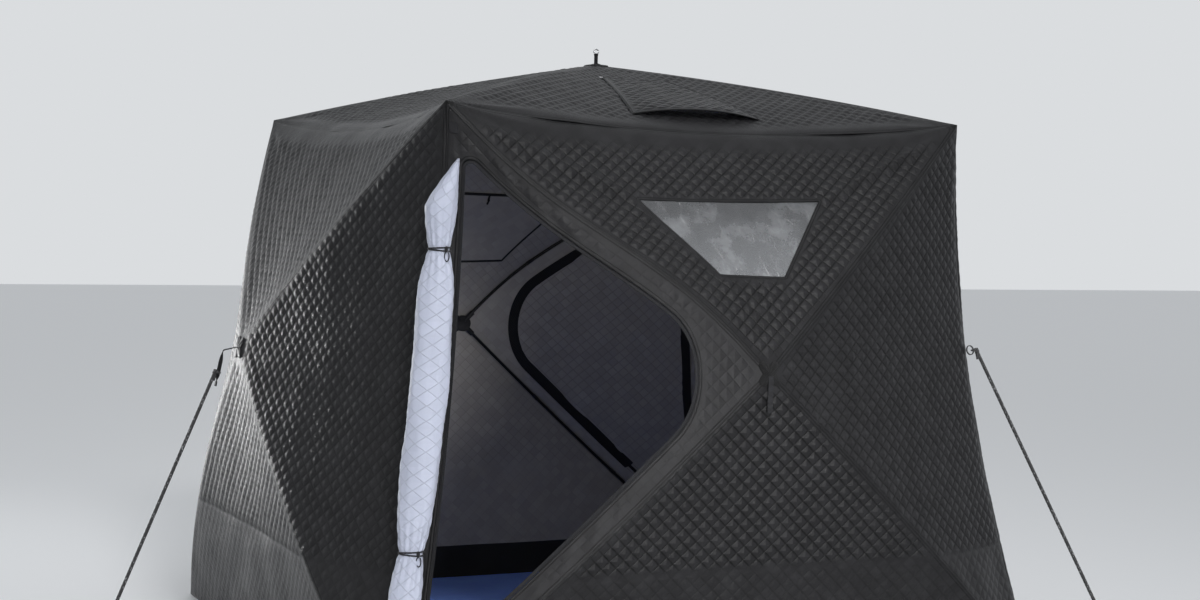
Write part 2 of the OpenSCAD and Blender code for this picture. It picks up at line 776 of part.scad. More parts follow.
// Vent hood on the front of the roof, sewn at the top and sides and open at its lip,
// with the mesh screen of the opening under it
screen_t = 1;
module roof_vent_hood() {
    across = 8;
    along = 5;
    f = roof_facet();
    function at(j, i) = j * (across + 1) + i;
    function lift(j, i) =
        let (s = j / along, x = 2 * i / across - 1)
        vent_arch * pow(s, 1.6) * (1 - x * x);
    function point(j, i, up) =
        let (
            s = j / along,
            half = mix(vent_sewn_half, vent_lip_half, s),
            p = [half * (1 - 2 * i / across), -mix(vent_sewn_y, vent_lip_y, s)]
        )
        skin(f, place_of(f, p), -2 * sewn_gap - lift(j, i) - up);
    top = [for (j = [0:along], i = [0:across]) point(j, i, vent_t)];
    under = [for (j = [0:along], i = [0:across]) point(j, i, 0)];
    faces = [
        for (j = [0:along - 1], i = [0:across - 1])
        each [[at(j, i), at(j + 1, i), at(j + 1, i + 1)], [at(j, i), at(j + 1, i + 1), at(j, i + 1)]]
    ];
    border = concat([for (j = [0:along]) at(j, 0)], [for (i = [1:across]) at(along, i)],
        [for (j = [along - 1:-1:0]) at(j, across)], [for (i = [across - 1:-1:1]) at(0, i)]);
    color(fabric_colour) sheet_solid(top, under, faces, [border]);
    color(trim_colour) patch(f, vent_outline(-seat), film_depth, screen_t, 2);
}

// Webbing stem and ring on top of the roof hub
module roof_loop() {
    stem_h = 30;
    ring_r = 9;
    wire_r = 2.2;
    color(trim_colour) {
        translate([-7, -1.5, apex_h + 4.5]) cube([14, 3, stem_h]);
        translate([0, 0, apex_h + 4.5 + stem_h + seat + ring_r + wire_r]) rotate([90, 0, 0])
            rotate_extrude($fn = 32) translate([ring_r, 0]) circle(r = wire_r, $fn = 16);
    }
}

// Round reinforcement patches where the hubs pull the fabric out
patch_reach = 0.04;
patch_t = 3;
module hub_patch(facets) {
    rim = [for (f = facets) each [skin(f, [patch_reach, 0], -sewn_gap),
        skin(f, [patch_reach * 0.56, patch_reach * 0.56], -sewn_gap)]];
    lid = [for (f = facets) each [skin(f, [patch_reach, 0], -sewn_gap - patch_t),
        skin(f, [patch_reach * 0.56, patch_reach * 0.56], -sewn_gap - patch_t)]];
    n = len(rim);
    low = skin(facets[0], [0, 0], -sewn_gap);
    high = skin(facets[0], [0, 0], -sewn_gap - patch_t);
    polyhedron(points = concat([high], lid, [low], rim), faces = concat(
        [for (k = [0:n - 1]) [0, 1 + k, 1 + (k + 1) % n]],
        [for (k = [0:n - 1]) [n + 1, n + 2 + (k + 1) % n, n + 2 + k]],
        wall_faces([for (k = [0:n - 1]) 1 + k], n + 1, concat([high], lid))));
}
module hub_patches() {
    color(trim_colour) {
        for (a = [FRONT, RIGHT, BACK, LEFT]) rotate([0, 0, a])
            hub_patch([top_facet(sway_of(a)), right_facet(), base_facet(), left_facet(sway_of(a))]);
        hub_patch([for (a = [0, -90, -180, -270]) roof_quarter(a)]);
    }
}
function roof_quarter(a) =
    let (f = roof_facet())
    [f[HUB], turned(f[C0], a), turned(f[C1], a), f[OUT], f[BOW0], f[BOW1],
        turned(f[EDGE], a), turned(f[DIR0], a), turned(f[DIR1], a), 0, 0];

// Straps that pull the wall hubs out. Three hang down from their patches, and the
// left one runs out to its guy rope. A loop on the right corner edge takes the other
strap_w = 18;
strap_len = 110;
strap_t = 2.5;
strap_stand = 50;
strap_sag = 9;
strap_lean = 24;
strap_drop = 119;
strap_route = [
    [-hub_out - sewn_gap - patch_t - seat, 0, hub_h],
    [-hub_out - strap_stand, 0, hub_h - strap_sag],
    [-hub_out - strap_stand - strap_lean, 0, hub_h - strap_sag - strap_drop]
];
module left_strap() {
    side = [0, 1, 0];
    a = unit(strap_route[1] - strap_route[0]);
    b = unit(strap_route[2] - strap_route[1]);
    heads = [a, unit(a + b), b];
    widen = [1, 1 / cos(acos(a * b) / 2), 1];
    loft([for (i = [0:2])
        let (
            flat = cross(side, heads[i]) * strap_t / 2 * widen[i],
            wide = side * strap_w / 2
        )
        [strap_route[i] + flat + wide, strap_route[i] - flat + wide,
            strap_route[i] - flat - wide, strap_route[i] + flat - wide]]);
}
module pull_straps() {
    f = base_facet();
    top = hub_h - strap_w / 3;
    outline = [[-strap_w / 2, top], [strap_w / 2, top], [strap_w / 2, top - strap_len],
        [-strap_w / 2, top - strap_len]];
    color(trim_colour) {
        for (a = [FRONT, RIGHT, BACK]) rotate([0, 0, a])
            patch(f, outline, -sewn_gap - patch_t - sewn_gap - strap_t, strap_t, 1);
        left_strap();
        corner_loop();
    }
}

// Webbing tabs sewn below the top corner beside each door
tab_in = 4;
tab_w = 30;
tab_h = 31;
tab_drop = 64;
module corner_tabs() {
    side = -top_half + tab_in;
    high = eave_h - tab_drop;
    low = high - tab_h;
    outline = [[side, high], [side + tab_w, high], [side + tab_w, low], [side, low]];
    color(trim_colour) for (a = [FRONT, BACK]) rotate([0, 0, a])
        patch(left_facet(door_sway), outline, -1 - strap_t, strap_t, 1);
}

// Guy ropes with a knot at the top and a spliced eye round the ring of an ice anchor
knot_r = 1.5 * rope_r;
splice_h = 10 * rope_r;
splice_r = 1.2 * rope_r;
rope_eye_r = 2.6 * rope_r;
module guy_rope(knot, ring) {
    d = unit(knot - ring);
    flat = unit(cross([0, 0, 1], d));
    loop = ring + d * (anchor_eye_r + rope_eye_r - rope_r - anchor_rod_r - seat);
    foot = loop + d * rope_eye_r;
    aim(foot, d) cylinder(r = rope_r, h = norm(knot - foot), $fn = 20);
    aim(foot, d) cylinder(r = splice_r, h = splice_h, $fn = 20);
    translate(knot) sphere(r = knot_r, $fn = 24);
    aim(loop, cross(flat, d))
        rotate_extrude($fn = 32) translate([rope_eye_r, 0]) circle(r = rope_r, $fn = 20);
}
function anchor_eye(x, y) = [x, y, anchor_eye_h];
module ice_anchor(x, y, from) {
    translate([x, y, 0]) cylinder(r = 3 * anchor_rod_r, h = anchor_rod_r, $fn = 24);
    translate([x, y, 0])
        cylinder(r = 1.3 * anchor_rod_r, h = anchor_eye_h - anchor_eye_r, $fn = 24);
    translate([x, y, anchor_eye_h]) rotate([0, 0, atan2(from.y - y, from.x - x)])
        rotate([90, 0, 0]) rotate_extrude($fn = 32) translate([anchor_eye_r, 0])
            circle(r = anchor_rod_r, $fn = 16);
}
// The left rope is knotted to the outer face of its strap
left_knot =
    let (d = unit(strap_route[2] - strap_route[1]), out = [d.z, 0, -d.x])
    mix(strap_route[1], strap_route[2], 0.62) + (strap_t / 2 + seat + knot_r) * out;
left_ring = anchor_eye(-left_anchor_x, 0);
// The right rope is knotted to a webbing loop sewn into the corner edge
loop_reach = 22;
loop_h = 30;
away = unit([1, -1, 0]);
loop_root = edge_point(right_facet(), rope_loop_h);
right_knot = loop_root + away * (loop_reach + strap_t + 2 * seat + knot_r);
right_ring = anchor_eye(right_anchor_x, -right_anchor_y);
module corner_loop() {
    turns = 16;
    side = [away.y, -away.x, 0];
    middle = [for (k = [0:turns - 1])
        let (
            s = cos(360 * k / turns),
            h = rope_loop_h + loop_h / 2 * sin(360 * k / turns),
            root = edge_point(right_facet(), h)
        )
        root + away * (seat + strap_t / 2 + loop_reach * (1 + s) / 2)];
    loft([for (k = [0:turns - 1])
        let (
            t = unit(middle[(k + 1) % turns] - middle[(k + turns - 1) % turns]),
            flat = cross(side, t) * strap_t / 2,
            wide = side * strap_w / 2
        )
        [middle[k] + flat + wide, middle[k] - flat + wide, middle[k] - flat - wide,
            middle[k] + flat - wide]],
        closed = true);
}
module guy_ropes() {
    color(trim_colour) {
        guy_rope(left_knot, left_ring);
        guy_rope(right_knot, right_ring);
    }
}
module ice_anchors() {
    color(metal_colour) {
        ice_anchor(-left_anchor_x, 0, left_knot);
        ice_anchor(right_anchor_x, -right_anchor_y, right_knot);
    }
}

// Floor mat
module floor_mat() {
    half = base_half - fabric_t - mat_gap;
    color(mat_colour) translate([-half, -half, 0]) cube([2 * half, 2 * half, mat_t]);
}

front_top_panel();
front_right_panel();
front_base_panel();
front_left_panel();
side_top_panel(LEFT);  // left_top_panel
side_right_panel(LEFT);  // left_front_panel
side_base_panel(LEFT);  // left_base_panel
side_left_panel(LEFT);  // left_back_panel
back_top_panel();
back_left_panel();
back_base_panel();
back_right_panel();
side_top_panel(RIGHT);  // right_top_panel
side_right_panel(RIGHT);  // right_back_panel
side_base_panel(RIGHT);  // right_base_panel
side_left_panel(RIGHT);  // right_front_panel
roof_front_panel();
roof_panel(LEFT);  // roof_left_panel
roof_panel(BACK);  // roof_back_panel
roof_panel(RIGHT);  // roof_right_panel
wall_hub(FRONT, door_sway);  // front_hub
wall_hub(LEFT, 0);  // left_hub
wall_hub(BACK, door_sway);  // back_hub
wall_hub(RIGHT, 0);  // right_hub
roof_hub();
wall_poles(FRONT, door_sway);  // front_poles
wall_poles(LEFT, 0);  // left_poles
wall_poles(BACK, door_sway);  // back_poles
wall_poles(RIGHT, 0);  // right_poles
roof_poles();
corner_sockets();
window_films();
back_window_cover();
door_zips();
back_door_flap();
front_door_roll();
roll_ties();
roof_vent_hood();
roof_loop();
hub_patches();
pull_straps();
corner_tabs();
guy_ropes();
ice_anchors();
floor_mat();
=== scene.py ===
"""Pop-up ice fishing hut of quilted fabric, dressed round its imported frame. Metres throughout."""

import math

import bpy
import numpy as np
from mathutils import Matrix, Vector, geometry


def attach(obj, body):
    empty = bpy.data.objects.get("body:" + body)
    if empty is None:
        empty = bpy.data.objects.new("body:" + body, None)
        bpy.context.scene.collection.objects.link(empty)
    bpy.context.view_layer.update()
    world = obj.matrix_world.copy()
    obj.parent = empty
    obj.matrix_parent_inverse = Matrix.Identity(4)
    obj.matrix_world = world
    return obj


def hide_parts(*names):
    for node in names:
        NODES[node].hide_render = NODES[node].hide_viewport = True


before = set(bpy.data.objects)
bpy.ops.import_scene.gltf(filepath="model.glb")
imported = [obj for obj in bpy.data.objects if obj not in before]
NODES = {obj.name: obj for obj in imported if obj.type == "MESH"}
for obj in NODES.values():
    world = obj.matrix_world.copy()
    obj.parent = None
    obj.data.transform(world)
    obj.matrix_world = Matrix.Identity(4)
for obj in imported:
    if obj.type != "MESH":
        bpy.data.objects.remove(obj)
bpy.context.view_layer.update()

bl_info = {
    "name": "Quilted ice fishing hut",
    "version": (1, 0, 0),
    "blender": (4, 5, 0),
    "location": "3D View > Sidebar > Fishing hut",
    "description": "Dresses a pop-up ice fishing hut in quilted cloth, film, webbing and rope",
    "category": "Object",
}

# Sizes of the hut's cloth, as its solids have them
TOP_HALF, BASE_HALF = 0.915, 1.150
EAVE_H, APEX_H = 1.840, 2.045
HUB_OUT, HUB_H = 1.285, 1.045
UPPER_BOW, LOWER_BOW, ROOF_BOW = 0.022, 0.042, 0.015
DOOR_SWAY, PANEL_DIP = 0.026, 0.018
EAVE_DROP, EAVE_PULL, CORNER_PULL = 0.058, 0.038, 0.085
CLOTH_T, MAT_T, FILM_DEPTH, FILM_T = 0.006, 0.004, 0.003, 0.001
# Gaps from the door to the lower pole, the corner edge and the upper pole, and its radii
DOOR_GAPS, DOOR_RADII = (0.062, 0.057, 0.072), np.array([0.245, 0.034, 0.034])
# The back door's flap and both doors' zips, drawn in from the opening
FLAP_INSET, ZIP_INSET, ZIP_DEPTH, ZIP_W = 0.0116, 0.0058, 0.003, 0.011
WINDOW_LOW, WINDOW_HIGH, WINDOW_LOW_HALF, WINDOW_HIGH_HALF = 1.332, 1.588, 0.116, 0.314
# The blackout cover, drawn out from the window
COVER_GROW, COVER_DEPTH, COVER_T = 0.034, 0.0075, 0.002
HOOD_TOP, HOOD_LIP, HOOD_TOP_HALF, HOOD_LIP_HALF = 0.307, 0.796, 0.116, 0.229
HOOD_ARCH, HOOD_T, HOOD_SEAT, VENT_RIM = 0.034, 0.004, 0.0016, 0.034
HOOD_LONG, HOOD_FLARE = HOOD_LIP - HOOD_TOP, HOOD_LIP_HALF - HOOD_TOP_HALF
SEAT, SEWN_GAP = 0.0003, 0.0008
POLE_R, BALL_R, HUB_R, HUB_WALL = 0.006, 0.017, 0.033, 0.0035
POLE_DEPTH = CLOTH_T + 1.08 * POLE_R + SEAT
# Where a pole starts from the middle of its hub, and stops from the middle of its ball
POLE_ROOT, POLE_TIP = 0.016, 0.0095
UPPER_TIE, LOWER_TIE, ROLL_TOP, ROLL_BOTTOM = 1.400, 0.523, 1.668, 0.090
ROLL_W, ROLL_D, ROLL_LIFT, ROLL_NECK = 0.100, 0.062, 0.0042, 0.140
# Share of the way from the hub to the corner edge at which the roll's direction is taken
ROLL_AIM = 0.93
STRAP_W, STRAP_T, PATCH_T, PATCH_R = 0.018, 0.0025, 0.003, 0.046
STRAP_ROUTE = np.array([[-HUB_OUT - SEWN_GAP - PATCH_T - SEAT, 0, HUB_H],
                        [-HUB_OUT - 0.050, 0, HUB_H - 0.009],
                        [-HUB_OUT - 0.074, 0, HUB_H - 0.128]])
LOOP_AT, LOOP_H, LOOP_REACH = 1.086, 0.030, 0.022
ROPE_R, RING_R, RING_WIRE = 0.006, 0.020, 0.004
SPLICE_H, ROPE_EYE_R, KNOT_R = 10 * ROPE_R, 2.6 * ROPE_R, 1.5 * ROPE_R
LEFT_RING, RIGHT_RING = (-1.740, 0, 0.062), (1.428, -1.226, 0.062)

# Corners of the webbing tab under the door wall's top corner, as [x, z]
TAB_BOX = np.array([[-0.911, 1.745], [-0.881, 1.745], [-0.881, 1.776], [-0.911, 1.776]])

# Sizes and strength that only the cloth's relief and its dust have
PUFF, SKIRT_SEAM, LINING_PUFF = 0.0050, 0.45, 0.0012
BRAID_PITCH, ZIP_STEP, ROPE_STEP = 0.0105, 0.0024, 0.0035
DUST = 0.04

FRONT, RIGHT, BACK, LEFT = 0, 90, 180, 270
WALLS = [("front", FRONT), ("right", RIGHT), ("back", BACK), ("left", LEFT)]
HUB_AT, OUT_FRONT = (0, -HUB_OUT, HUB_H), (0, -1, 0)
ROOF_HUB_AT, OUT_ROOF = (0, 0, APEX_H), (0, 0, 1)
# Each facet's outer edge, and the corners that its two poles run to
FACETS = {"top": ("eave", ("top", -1), ("top", 1)),
          "right": ("corner", ("top", 1), ("base", 1)),
          "base": ("ground", ("base", 1), ("base", -1)),
          "left": ("corner", ("base", -1), ("top", -1)),
          "roof": ("eave", ("top", 1), ("top", -1))}
RNG_SEED = 31


# ---------------------------------------------------------------- cloth surface

def unit(v):
    v = np.asarray(v, float)
    return v / np.maximum(np.linalg.norm(v, axis=-1, keepdims=True), 1e-12)


def smooth(low, high, x):
    t = np.clip((x - low) / (high - low), 0, 1)
    return t * t * (3 - 2 * t)


def bell(x, width):
    return np.exp(-((x / width) ** 2))


def circle(count):
    """Angles of this many even steps round a circle."""
    return np.arange(count) * 2 * np.pi / count


def turned(points, degrees):
    """Points turned about the upright axis through the middle of the hut."""
    a = math.radians(degrees)
    turn = np.array([[math.cos(a), -math.sin(a), 0], [math.sin(a), math.cos(a), 0], [0, 0, 1]])
    return points @ turn.T


def sway_of(turn):
    """Sideways sweep of the pole above the door of the wall at this turn."""
    return DOOR_SWAY if turn in (FRONT, BACK) else 0.0


def corner_at(level, s):
    """A front corner's point, the way it is pulled and the bow of its wall pole."""
    if level == "top":
        return np.array([s * TOP_HALF, -TOP_HALF, EAVE_H]), np.array([s, -1.0, 1]), UPPER_BOW
    return np.array([s * BASE_HALF, -BASE_HALF, 0]), np.array([s, -1.0, 0]), LOWER_BOW


def shares(place):
    """Share of the way from the first pole to the second, and from the hub to the outer edge."""
    v = place[:, 0] + place[:, 1]
    return np.where(v > 1e-9, place[:, 1] / np.maximum(v, 1e-9), 0.5), v


class Facet:
    """Triangle of cloth between two bowed poles, in the front wall or the front of the roof."""

    def __init__(self, kind, sway=0.0):
        self.kind, (self.rim, *ends) = kind, FACETS[kind]
        roof = kind == "roof"
        self.hub = np.array(ROOF_HUB_AT if roof else HUB_AT, float)
        self.out = np.array(OUT_ROOF if roof else OUT_FRONT, float)
        corners, self.dirs, bows = zip(*(corner_at(*end) for end in ends))
        self.corners, self.bows = corners, (ROOF_BOW, ROOF_BOW) if roof else bows
        self.sways = [sway if end == ("top", -1) and not roof else 0.0 for end in ends]
        self.edge = {"eave": np.array([0, EAVE_PULL, -EAVE_DROP]), "ground": np.zeros(3),
                     "corner": CORNER_PULL * np.array([-ends[0][1], 1, 0]) / math.sqrt(2)}[self.rim]
        a, b = corners[0] - self.hub, corners[1] - self.hub
        normal = unit(np.cross(b, a))
        self.across = unit(np.cross([0, 0, 1], normal))
        up = np.cross(normal, self.across)
        self.a2 = np.array([a @ self.across, a @ up])
        self.b2 = np.array([b @ self.across, b @ up])
        self.area2 = self.a2[0] * self.b2[1] - self.a2[1] * self.b2[0]

    def place(self, flat):
        """Shares towards the two corners, from points drawn on the facet's chord plane."""
        x, y = flat[:, 0], flat[:, 1]
        a = (x * self.b2[1] - y * self.b2[0]) / self.area2
        b = (self.a2[0] * y - self.a2[1] * x) / self.area2
        return np.stack([a, b], 1)

    def flat(self, place):
        return place[:, :1] * self.a2 + place[:, 1:] * self.b2

    def pole(self, k, t):
        corner, t = self.corners[k], t[:, None]
        side = unit(np.cross(corner - self.hub, self.out))
        return (self.hub + t * (corner - self.hub) + self.bows[k] * 4 * t * (1 - t) * self.out
                + self.sways[k] * np.sin(2 * np.pi * t) * side)

    def skin(self, place, depth=0.0):
        """Points of the cloth, depth metres inside its outer face."""
        u, v = shares(place)
        span = 4 * u * (1 - u)
        dip = PANEL_DIP * span * 4 * v * (1 - v)
        point = (1 - u)[:, None] * self.pole(0, v) + u[:, None] * self.pole(1, v)
        return (point - dip[:, None] * self.out + (span * v ** 3)[:, None] * self.edge
                + np.reshape(depth, (-1, 1)) * self.inwards(place))

    def inwards(self, place):
        u, v = (share[:, None] for share in shares(place))
        along = (1 - u) * self.dirs[0] + u * self.dirs[1]
        return -unit((1 - v) * self.out + v * along)

    def normal(self, place):
        e = 2e-3
        du = self.skin(place + [e, 0]) - self.skin(place - [e, 0])
        dv = self.skin(place + [0, e]) - self.skin(place - [0, e])
        return unit(np.cross(dv, du))

    def border_gaps(self, place):
        """Distances to the first pole, the second pole and the outer edge."""
        a, b = place[:, 0], place[:, 1]
        area = abs(self.area2)
        return (b * area / np.linalg.norm(self.a2), a * area / np.linalg.norm(self.b2),
                (1 - a - b) * area / np.linalg.norm(self.b2 - self.a2))

    def seam_gap(self, place):
        return np.minimum(*self.border_gaps(place)[:2])


# ---------------------------------------------------------------- outlines drawn flat

def offset_line(a, b, gap):
    t = unit(np.subtract(b, a))
    return np.add(a, gap * np.array([t[1], -t[0]])), t


def meeting(p, q):
    (a, s), (b, t) = p, q
    share = ((b[0] - a[0]) * t[1] - (b[1] - a[1]) * t[0]) / (s[0] * t[1] - s[1] * t[0])
    return a + share * s


def rounded(corners, radii, step=0.006):
    """Closed outline with its corners rounded, in points about a step apart."""
    loop, count = [], len(corners)
    for k, (corner, radius) in enumerate(zip(corners, radii)):
        before, after = unit(corners[k - 1] - corner), unit(corners[(k + 1) % count] - corner)
        half = math.acos(float(np.clip(before @ after, -1, 1))) / 2
        middle = corner + radius / math.sin(half) * unit(before + after)
        feet = (corner + radius / math.tan(half) * way - middle for way in (before, after))
        start, end = (math.atan2(f[1], f[0]) for f in feet)
        sweep = (end - start + math.pi) % (2 * math.pi) - math.pi
        cuts = max(2, round(abs(sweep) * radius / step))
        for j in range(cuts + 1):
            turn = start + sweep * j / cuts
            loop.append(middle + radius * np.array([math.cos(turn), math.sin(turn)]))
    return resampled(np.array(loop), step)


def resampled(loop, step):
    """The same closed outline with its long sides cut into steps."""
    out = []
    for a, b in zip(loop, np.roll(loop, -1, 0)):
        gap = np.linalg.norm(b - a)
        if gap < 1e-5:
            continue
        cuts = max(1, round(gap / step))
        out += [a + (b - a) * j / cuts for j in range(cuts)]
    return np.array(out)


def door_outline(inset):
    """Door opening in the left facet of the front wall, as [x, z]."""
    hub, base, top = (0, HUB_H), (-BASE_HALF, 0), (-TOP_HALF, EAVE_H)
    low, side, high = (offset_line(a, b, gap + inset) for a, b, gap in
                       zip((hub, base, top), (base, top, hub), DOOR_GAPS))
    return rounded([meeting(high, low), meeting(low, side), meeting(side, high)],
                   DOOR_RADII - inset)


def window_outline(grow):
    """Window opening in the top facet, as [x, z]."""
    low, high = WINDOW_LOW - grow, WINDOW_HIGH + grow
    lh, hh = WINDOW_LOW_HALF + grow, WINDOW_HIGH_HALF + 1.6 * grow
    return resampled(np.array([[-lh, low], [lh, low], [hh, high], [-hh, high]]), 0.006)


def vent_outline(grow):
    """Vent opening in the front of the roof, as [x, y]."""
    ends = HOOD_TOP + VENT_RIM, HOOD_LIP - 2 * VENT_RIM
    a, b = (HOOD_TOP_HALF + HOOD_FLARE * (y - HOOD_TOP) / HOOD_LONG - VENT_RIM + grow for y in ends)
    near, far = ends[0] - grow, ends[1] + grow
    return resampled(np.array([[a, -near], [b, -far], [-b, -far], [-a, -near]]), 0.006)


def on_chord_plane(facet, outline):
    """An outline given as [x, z] on a wall, or [x, y] on the roof, on the facet's chord plane."""
    pick = [0, 1] if facet.out[2] else [0, 2]
    hub, a, b = facet.hub[pick], *((c - facet.hub)[pick] for c in facet.corners)
    d = np.asarray(outline) - hub
    area = a[0] * b[1] - a[1] * b[0]
    place = np.stack([(d[:, 0] * b[1] - d[:, 1] * b[0]) / area,
                      (a[0] * d[:, 1] - a[1] * d[:, 0]) / area], 1)
    return facet.flat(place)


def outline_route(facet, outline, depth):
    """Points along an outline on a facet, with the way out of the cloth at each."""
    place = facet.place(on_chord_plane(facet, outline))
    return facet.skin(place, depth), -facet.inwards(place)


def signed_area(loop):
    x, y = loop[:, 0], loop[:, 1]
    return float(np.sum(x * np.roll(y, -1) - y * np.roll(x, -1))) / 2


def turned_left(loop):
    """A closed outline that runs to the left."""
    return loop[::-1] if signed_area(loop) < 0 else loop


# ---------------------------------------------------------------- quilted mesh

def corners_of(loop):
    """A closed outline without the points along its straight sides."""
    before, after = loop - np.roll(loop, 1, 0), np.roll(loop, -1, 0) - loop
    bend = before[:, 0] * after[:, 1] - before[:, 1] * after[:, 0]
    scale = np.linalg.norm(before, axis=1) * np.linalg.norm(after, axis=1)
    return loop[np.abs(bend) > 1e-4 * scale]


def inside(points, loop):
    """Which points lie inside a closed outline."""
    hit = np.zeros(len(points), bool)
    loop = corners_of(loop)
    x, y = points[:, 0], points[:, 1]
    for a, b in zip(loop, np.roll(loop, -1, 0)):
        if a[1] == b[1]:
            continue
        crosses = (a[1] > y) != (b[1] > y)
        hit ^= crosses & (x < (b[0] - a[0]) * (y - a[1]) / (b[1] - a[1]) + a[0])
    return hit


def gap_to(points, loop):
    """Distance from each point to a closed outline."""
    best = np.full(len(points), 1e9)
    loop = corners_of(loop)
    for a, b in zip(loop, np.roll(loop, -1, 0)):
        d = b - a
        t = np.clip(((points - a) @ d) / max(d @ d, 1e-12), 0, 1)
        best = np.minimum(best, np.linalg.norm(points - a - t[:, None] * d, axis=1))
    return best


def quilt_lattice(loop, width, height, cuts):
    """Points on the stitch lines and at even steps between them, over an outline's box."""
    (s0, t0), (s1, t1) = loop.min(0), loop.max(0)
    sums = [s / width + t / height for s in (s0, s1) for t in (t0, t1)]
    gaps = [s / width - t / height for s in (s0, s1) for t in (t0, t1)]
    i = np.arange(math.floor(min(sums) * cuts), math.ceil(max(sums) * cuts) + 1) / cuts
    j = np.arange(math.floor(min(gaps) * cuts), math.ceil(max(gaps) * cuts) + 1) / cuts
    a, b = (g.ravel() for g in np.meshgrid(i, j))
    return np.stack([width * (a + b) / 2, height * (a - b) / 2], 1)


def regions(tris, fixed, count):
    """A label for each triangle, the same for all that meet across edges that aren't fixed."""
    edges = np.sort(tris[:, [0, 1, 1, 2, 2, 0]].reshape(-1, 2), 1)
    key = edges[:, 0] * count + edges[:, 1]
    order = np.argsort(key, kind="stable")
    same = (key[order][1:] == key[order][:-1]) & ~np.isin(key[order][1:], fixed)
    p, q = order[:-1][same] // 3, order[1:][same] // 3
    label = np.arange(len(tris))
    while True:
        low = np.minimum(label[p], label[q])
        if (label[p] == low).all() and (label[q] == low).all():
            return label
        np.minimum.at(label, label[p], low)
        np.minimum.at(label, label[q], low)
        label = label[label]


def meshed(border, holes, width, height, cuts):
    """Flat triangles over an outline with openings, with their corners on the quilting."""
    step = 0.5 * math.hypot(width, height) / cuts
    points = quilt_lattice(border, width, height, cuts)
    points = points[inside(points, border)]
    points = points[gap_to(points, border) > 0.45 * step]
    for hole in holes:
        near = gap_to(points, hole)
        points = points[(near > 0.45 * step) & ~inside(points, hole)]
    loops, flat, edges = [], [], []
    start = 0
    for loop in [border, *holes]:
        count = len(loop)
        loops.append(np.arange(start, start + count))
        edges += [(start + k, start + (k + 1) % count) for k in range(count)]
        flat.append(loop)
        start += count
    flat = np.vstack([*flat, points])
    found = geometry.delaunay_2d_cdt([Vector(p) for p in flat], edges, [], 0, 1e-7)
    place = np.array([v[:] for v in found[0]])
    order = np.full(len(flat), -1)
    for new, old in enumerate(found[3]):
        order[old] = new
    tris, count = np.array(found[2]), len(place)
    loops = [order[loop] for loop in loops]
    fixed = np.concatenate([np.sort(np.stack([loop, np.roll(loop, -1)], 1), 1) @ [count, 1]
                            for loop in loops])
    label = regions(tris, fixed, count)
    a, b, c = (place[tris[:, k]] for k in range(3))
    size = np.abs((b - a)[:, 0] * (c - a)[:, 1] - (b - a)[:, 1] * (c - a)[:, 0])
    keep = np.zeros(len(tris), bool)
    for each in np.unique(label):
        members = np.flatnonzero(label == each)
        largest = members[np.argmax(size[members])]
        middle = place[tris[largest]].mean(0)[None]
        if (size[largest] > 1e-8 and inside(middle, border)[0]
                and not any(inside(middle, hole)[0] for hole in holes)):
            keep[members] = True
    return place, tris[keep], loops


def border_of(facet, step):
    """The facet's border on its chord plane, cut alike on both sides of a seam."""
    ends = [np.zeros(2), facet.a2, facet.b2]
    loop = []
    for a, b in zip(ends, ends[1:] + ends[:1]):
        cuts = round(np.linalg.norm(b - a) / step)
        loop += [a + (b - a) * k / cuts for k in range(cuts)]
    return np.array(loop[::-1])


def cell_noise(a, b, seed):
    """A steady random share for each quilted diamond."""
    h = np.sin(np.floor(a) * 127.1 + np.floor(b) * 311.7 + seed * 74.7) * 43758.5453
    return h - np.floor(h)


def lumps(points, seed, size, octaves=3):
    """Smooth seeded waviness, about -1 to 1."""
    rng = np.random.default_rng(seed)
    total = np.zeros(len(points))
    for k in range(octaves):
        for _ in range(3):
            way = unit(rng.normal(size=points.shape[1]))
            total += 0.6 ** k / 2.2 * np.sin(2 * np.pi * (points @ way) * 1.7 ** k / size
                                           + rng.uniform(0, 6.28))
    return total


def new_piece(name, points, faces, materials, material_of_face=None, cloth=None, sharp=50):
    """A mesh piece with its cloth coordinates, the share of its padding and its finishes."""
    mesh = bpy.data.meshes.new(name)
    mesh.vertices.add(len(points))
    mesh.vertices.foreach_set("co", np.asarray(points, np.float32).ravel())
    mesh.loops.add(faces.size)
    mesh.loops.foreach_set("vertex_index", faces.astype(np.int32).ravel())
    mesh.polygons.add(len(faces))
    mesh.polygons.foreach_set("loop_start",
                              np.arange(0, faces.size, faces.shape[1], dtype=np.int32))
    mesh.update(calc_edges=True)
    mesh.validate()
    mesh.polygons.foreach_set("use_smooth", np.ones(len(mesh.polygons), bool))
    mesh.set_sharp_from_angle(angle=math.radians(sharp))
    for material in materials:
        mesh.materials.append(material)
    if material_of_face is not None:
        mesh.polygons.foreach_set("material_index", np.asarray(material_of_face, np.int32))
    if cloth is not None:
        layer = mesh.attributes.new("cloth", "FLOAT_VECTOR", "POINT")
        layer.data.foreach_set("vector", np.asarray(cloth[:, :3], np.float32).ravel())
        if cloth.shape[1] == 4:
            layer = mesh.attributes.new("padding", "FLOAT", "POINT")
            layer.data.foreach_set("value", np.asarray(cloth[:, 3], np.float32))
    piece = bpy.data.objects.new(name, mesh)
    bpy.context.scene.collection.objects.link(piece)
    return piece


def dressed(piece, node):
    """Puts a finished piece in its node's place."""
    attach(piece, "root")
    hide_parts(node)
    return piece


# ---------------------------------------------------------------- folds of the tensioned cloth

def diamonds(flat, lattice):
    """Quilting coordinates, whole on the stitch lines."""
    s, t = flat[:, 0] / lattice[0], flat[:, 1] / lattice[1]
    return s + t, s - t


def pillow(a, b):
    return np.abs(np.sin(np.pi * a) * np.sin(np.pi * b))


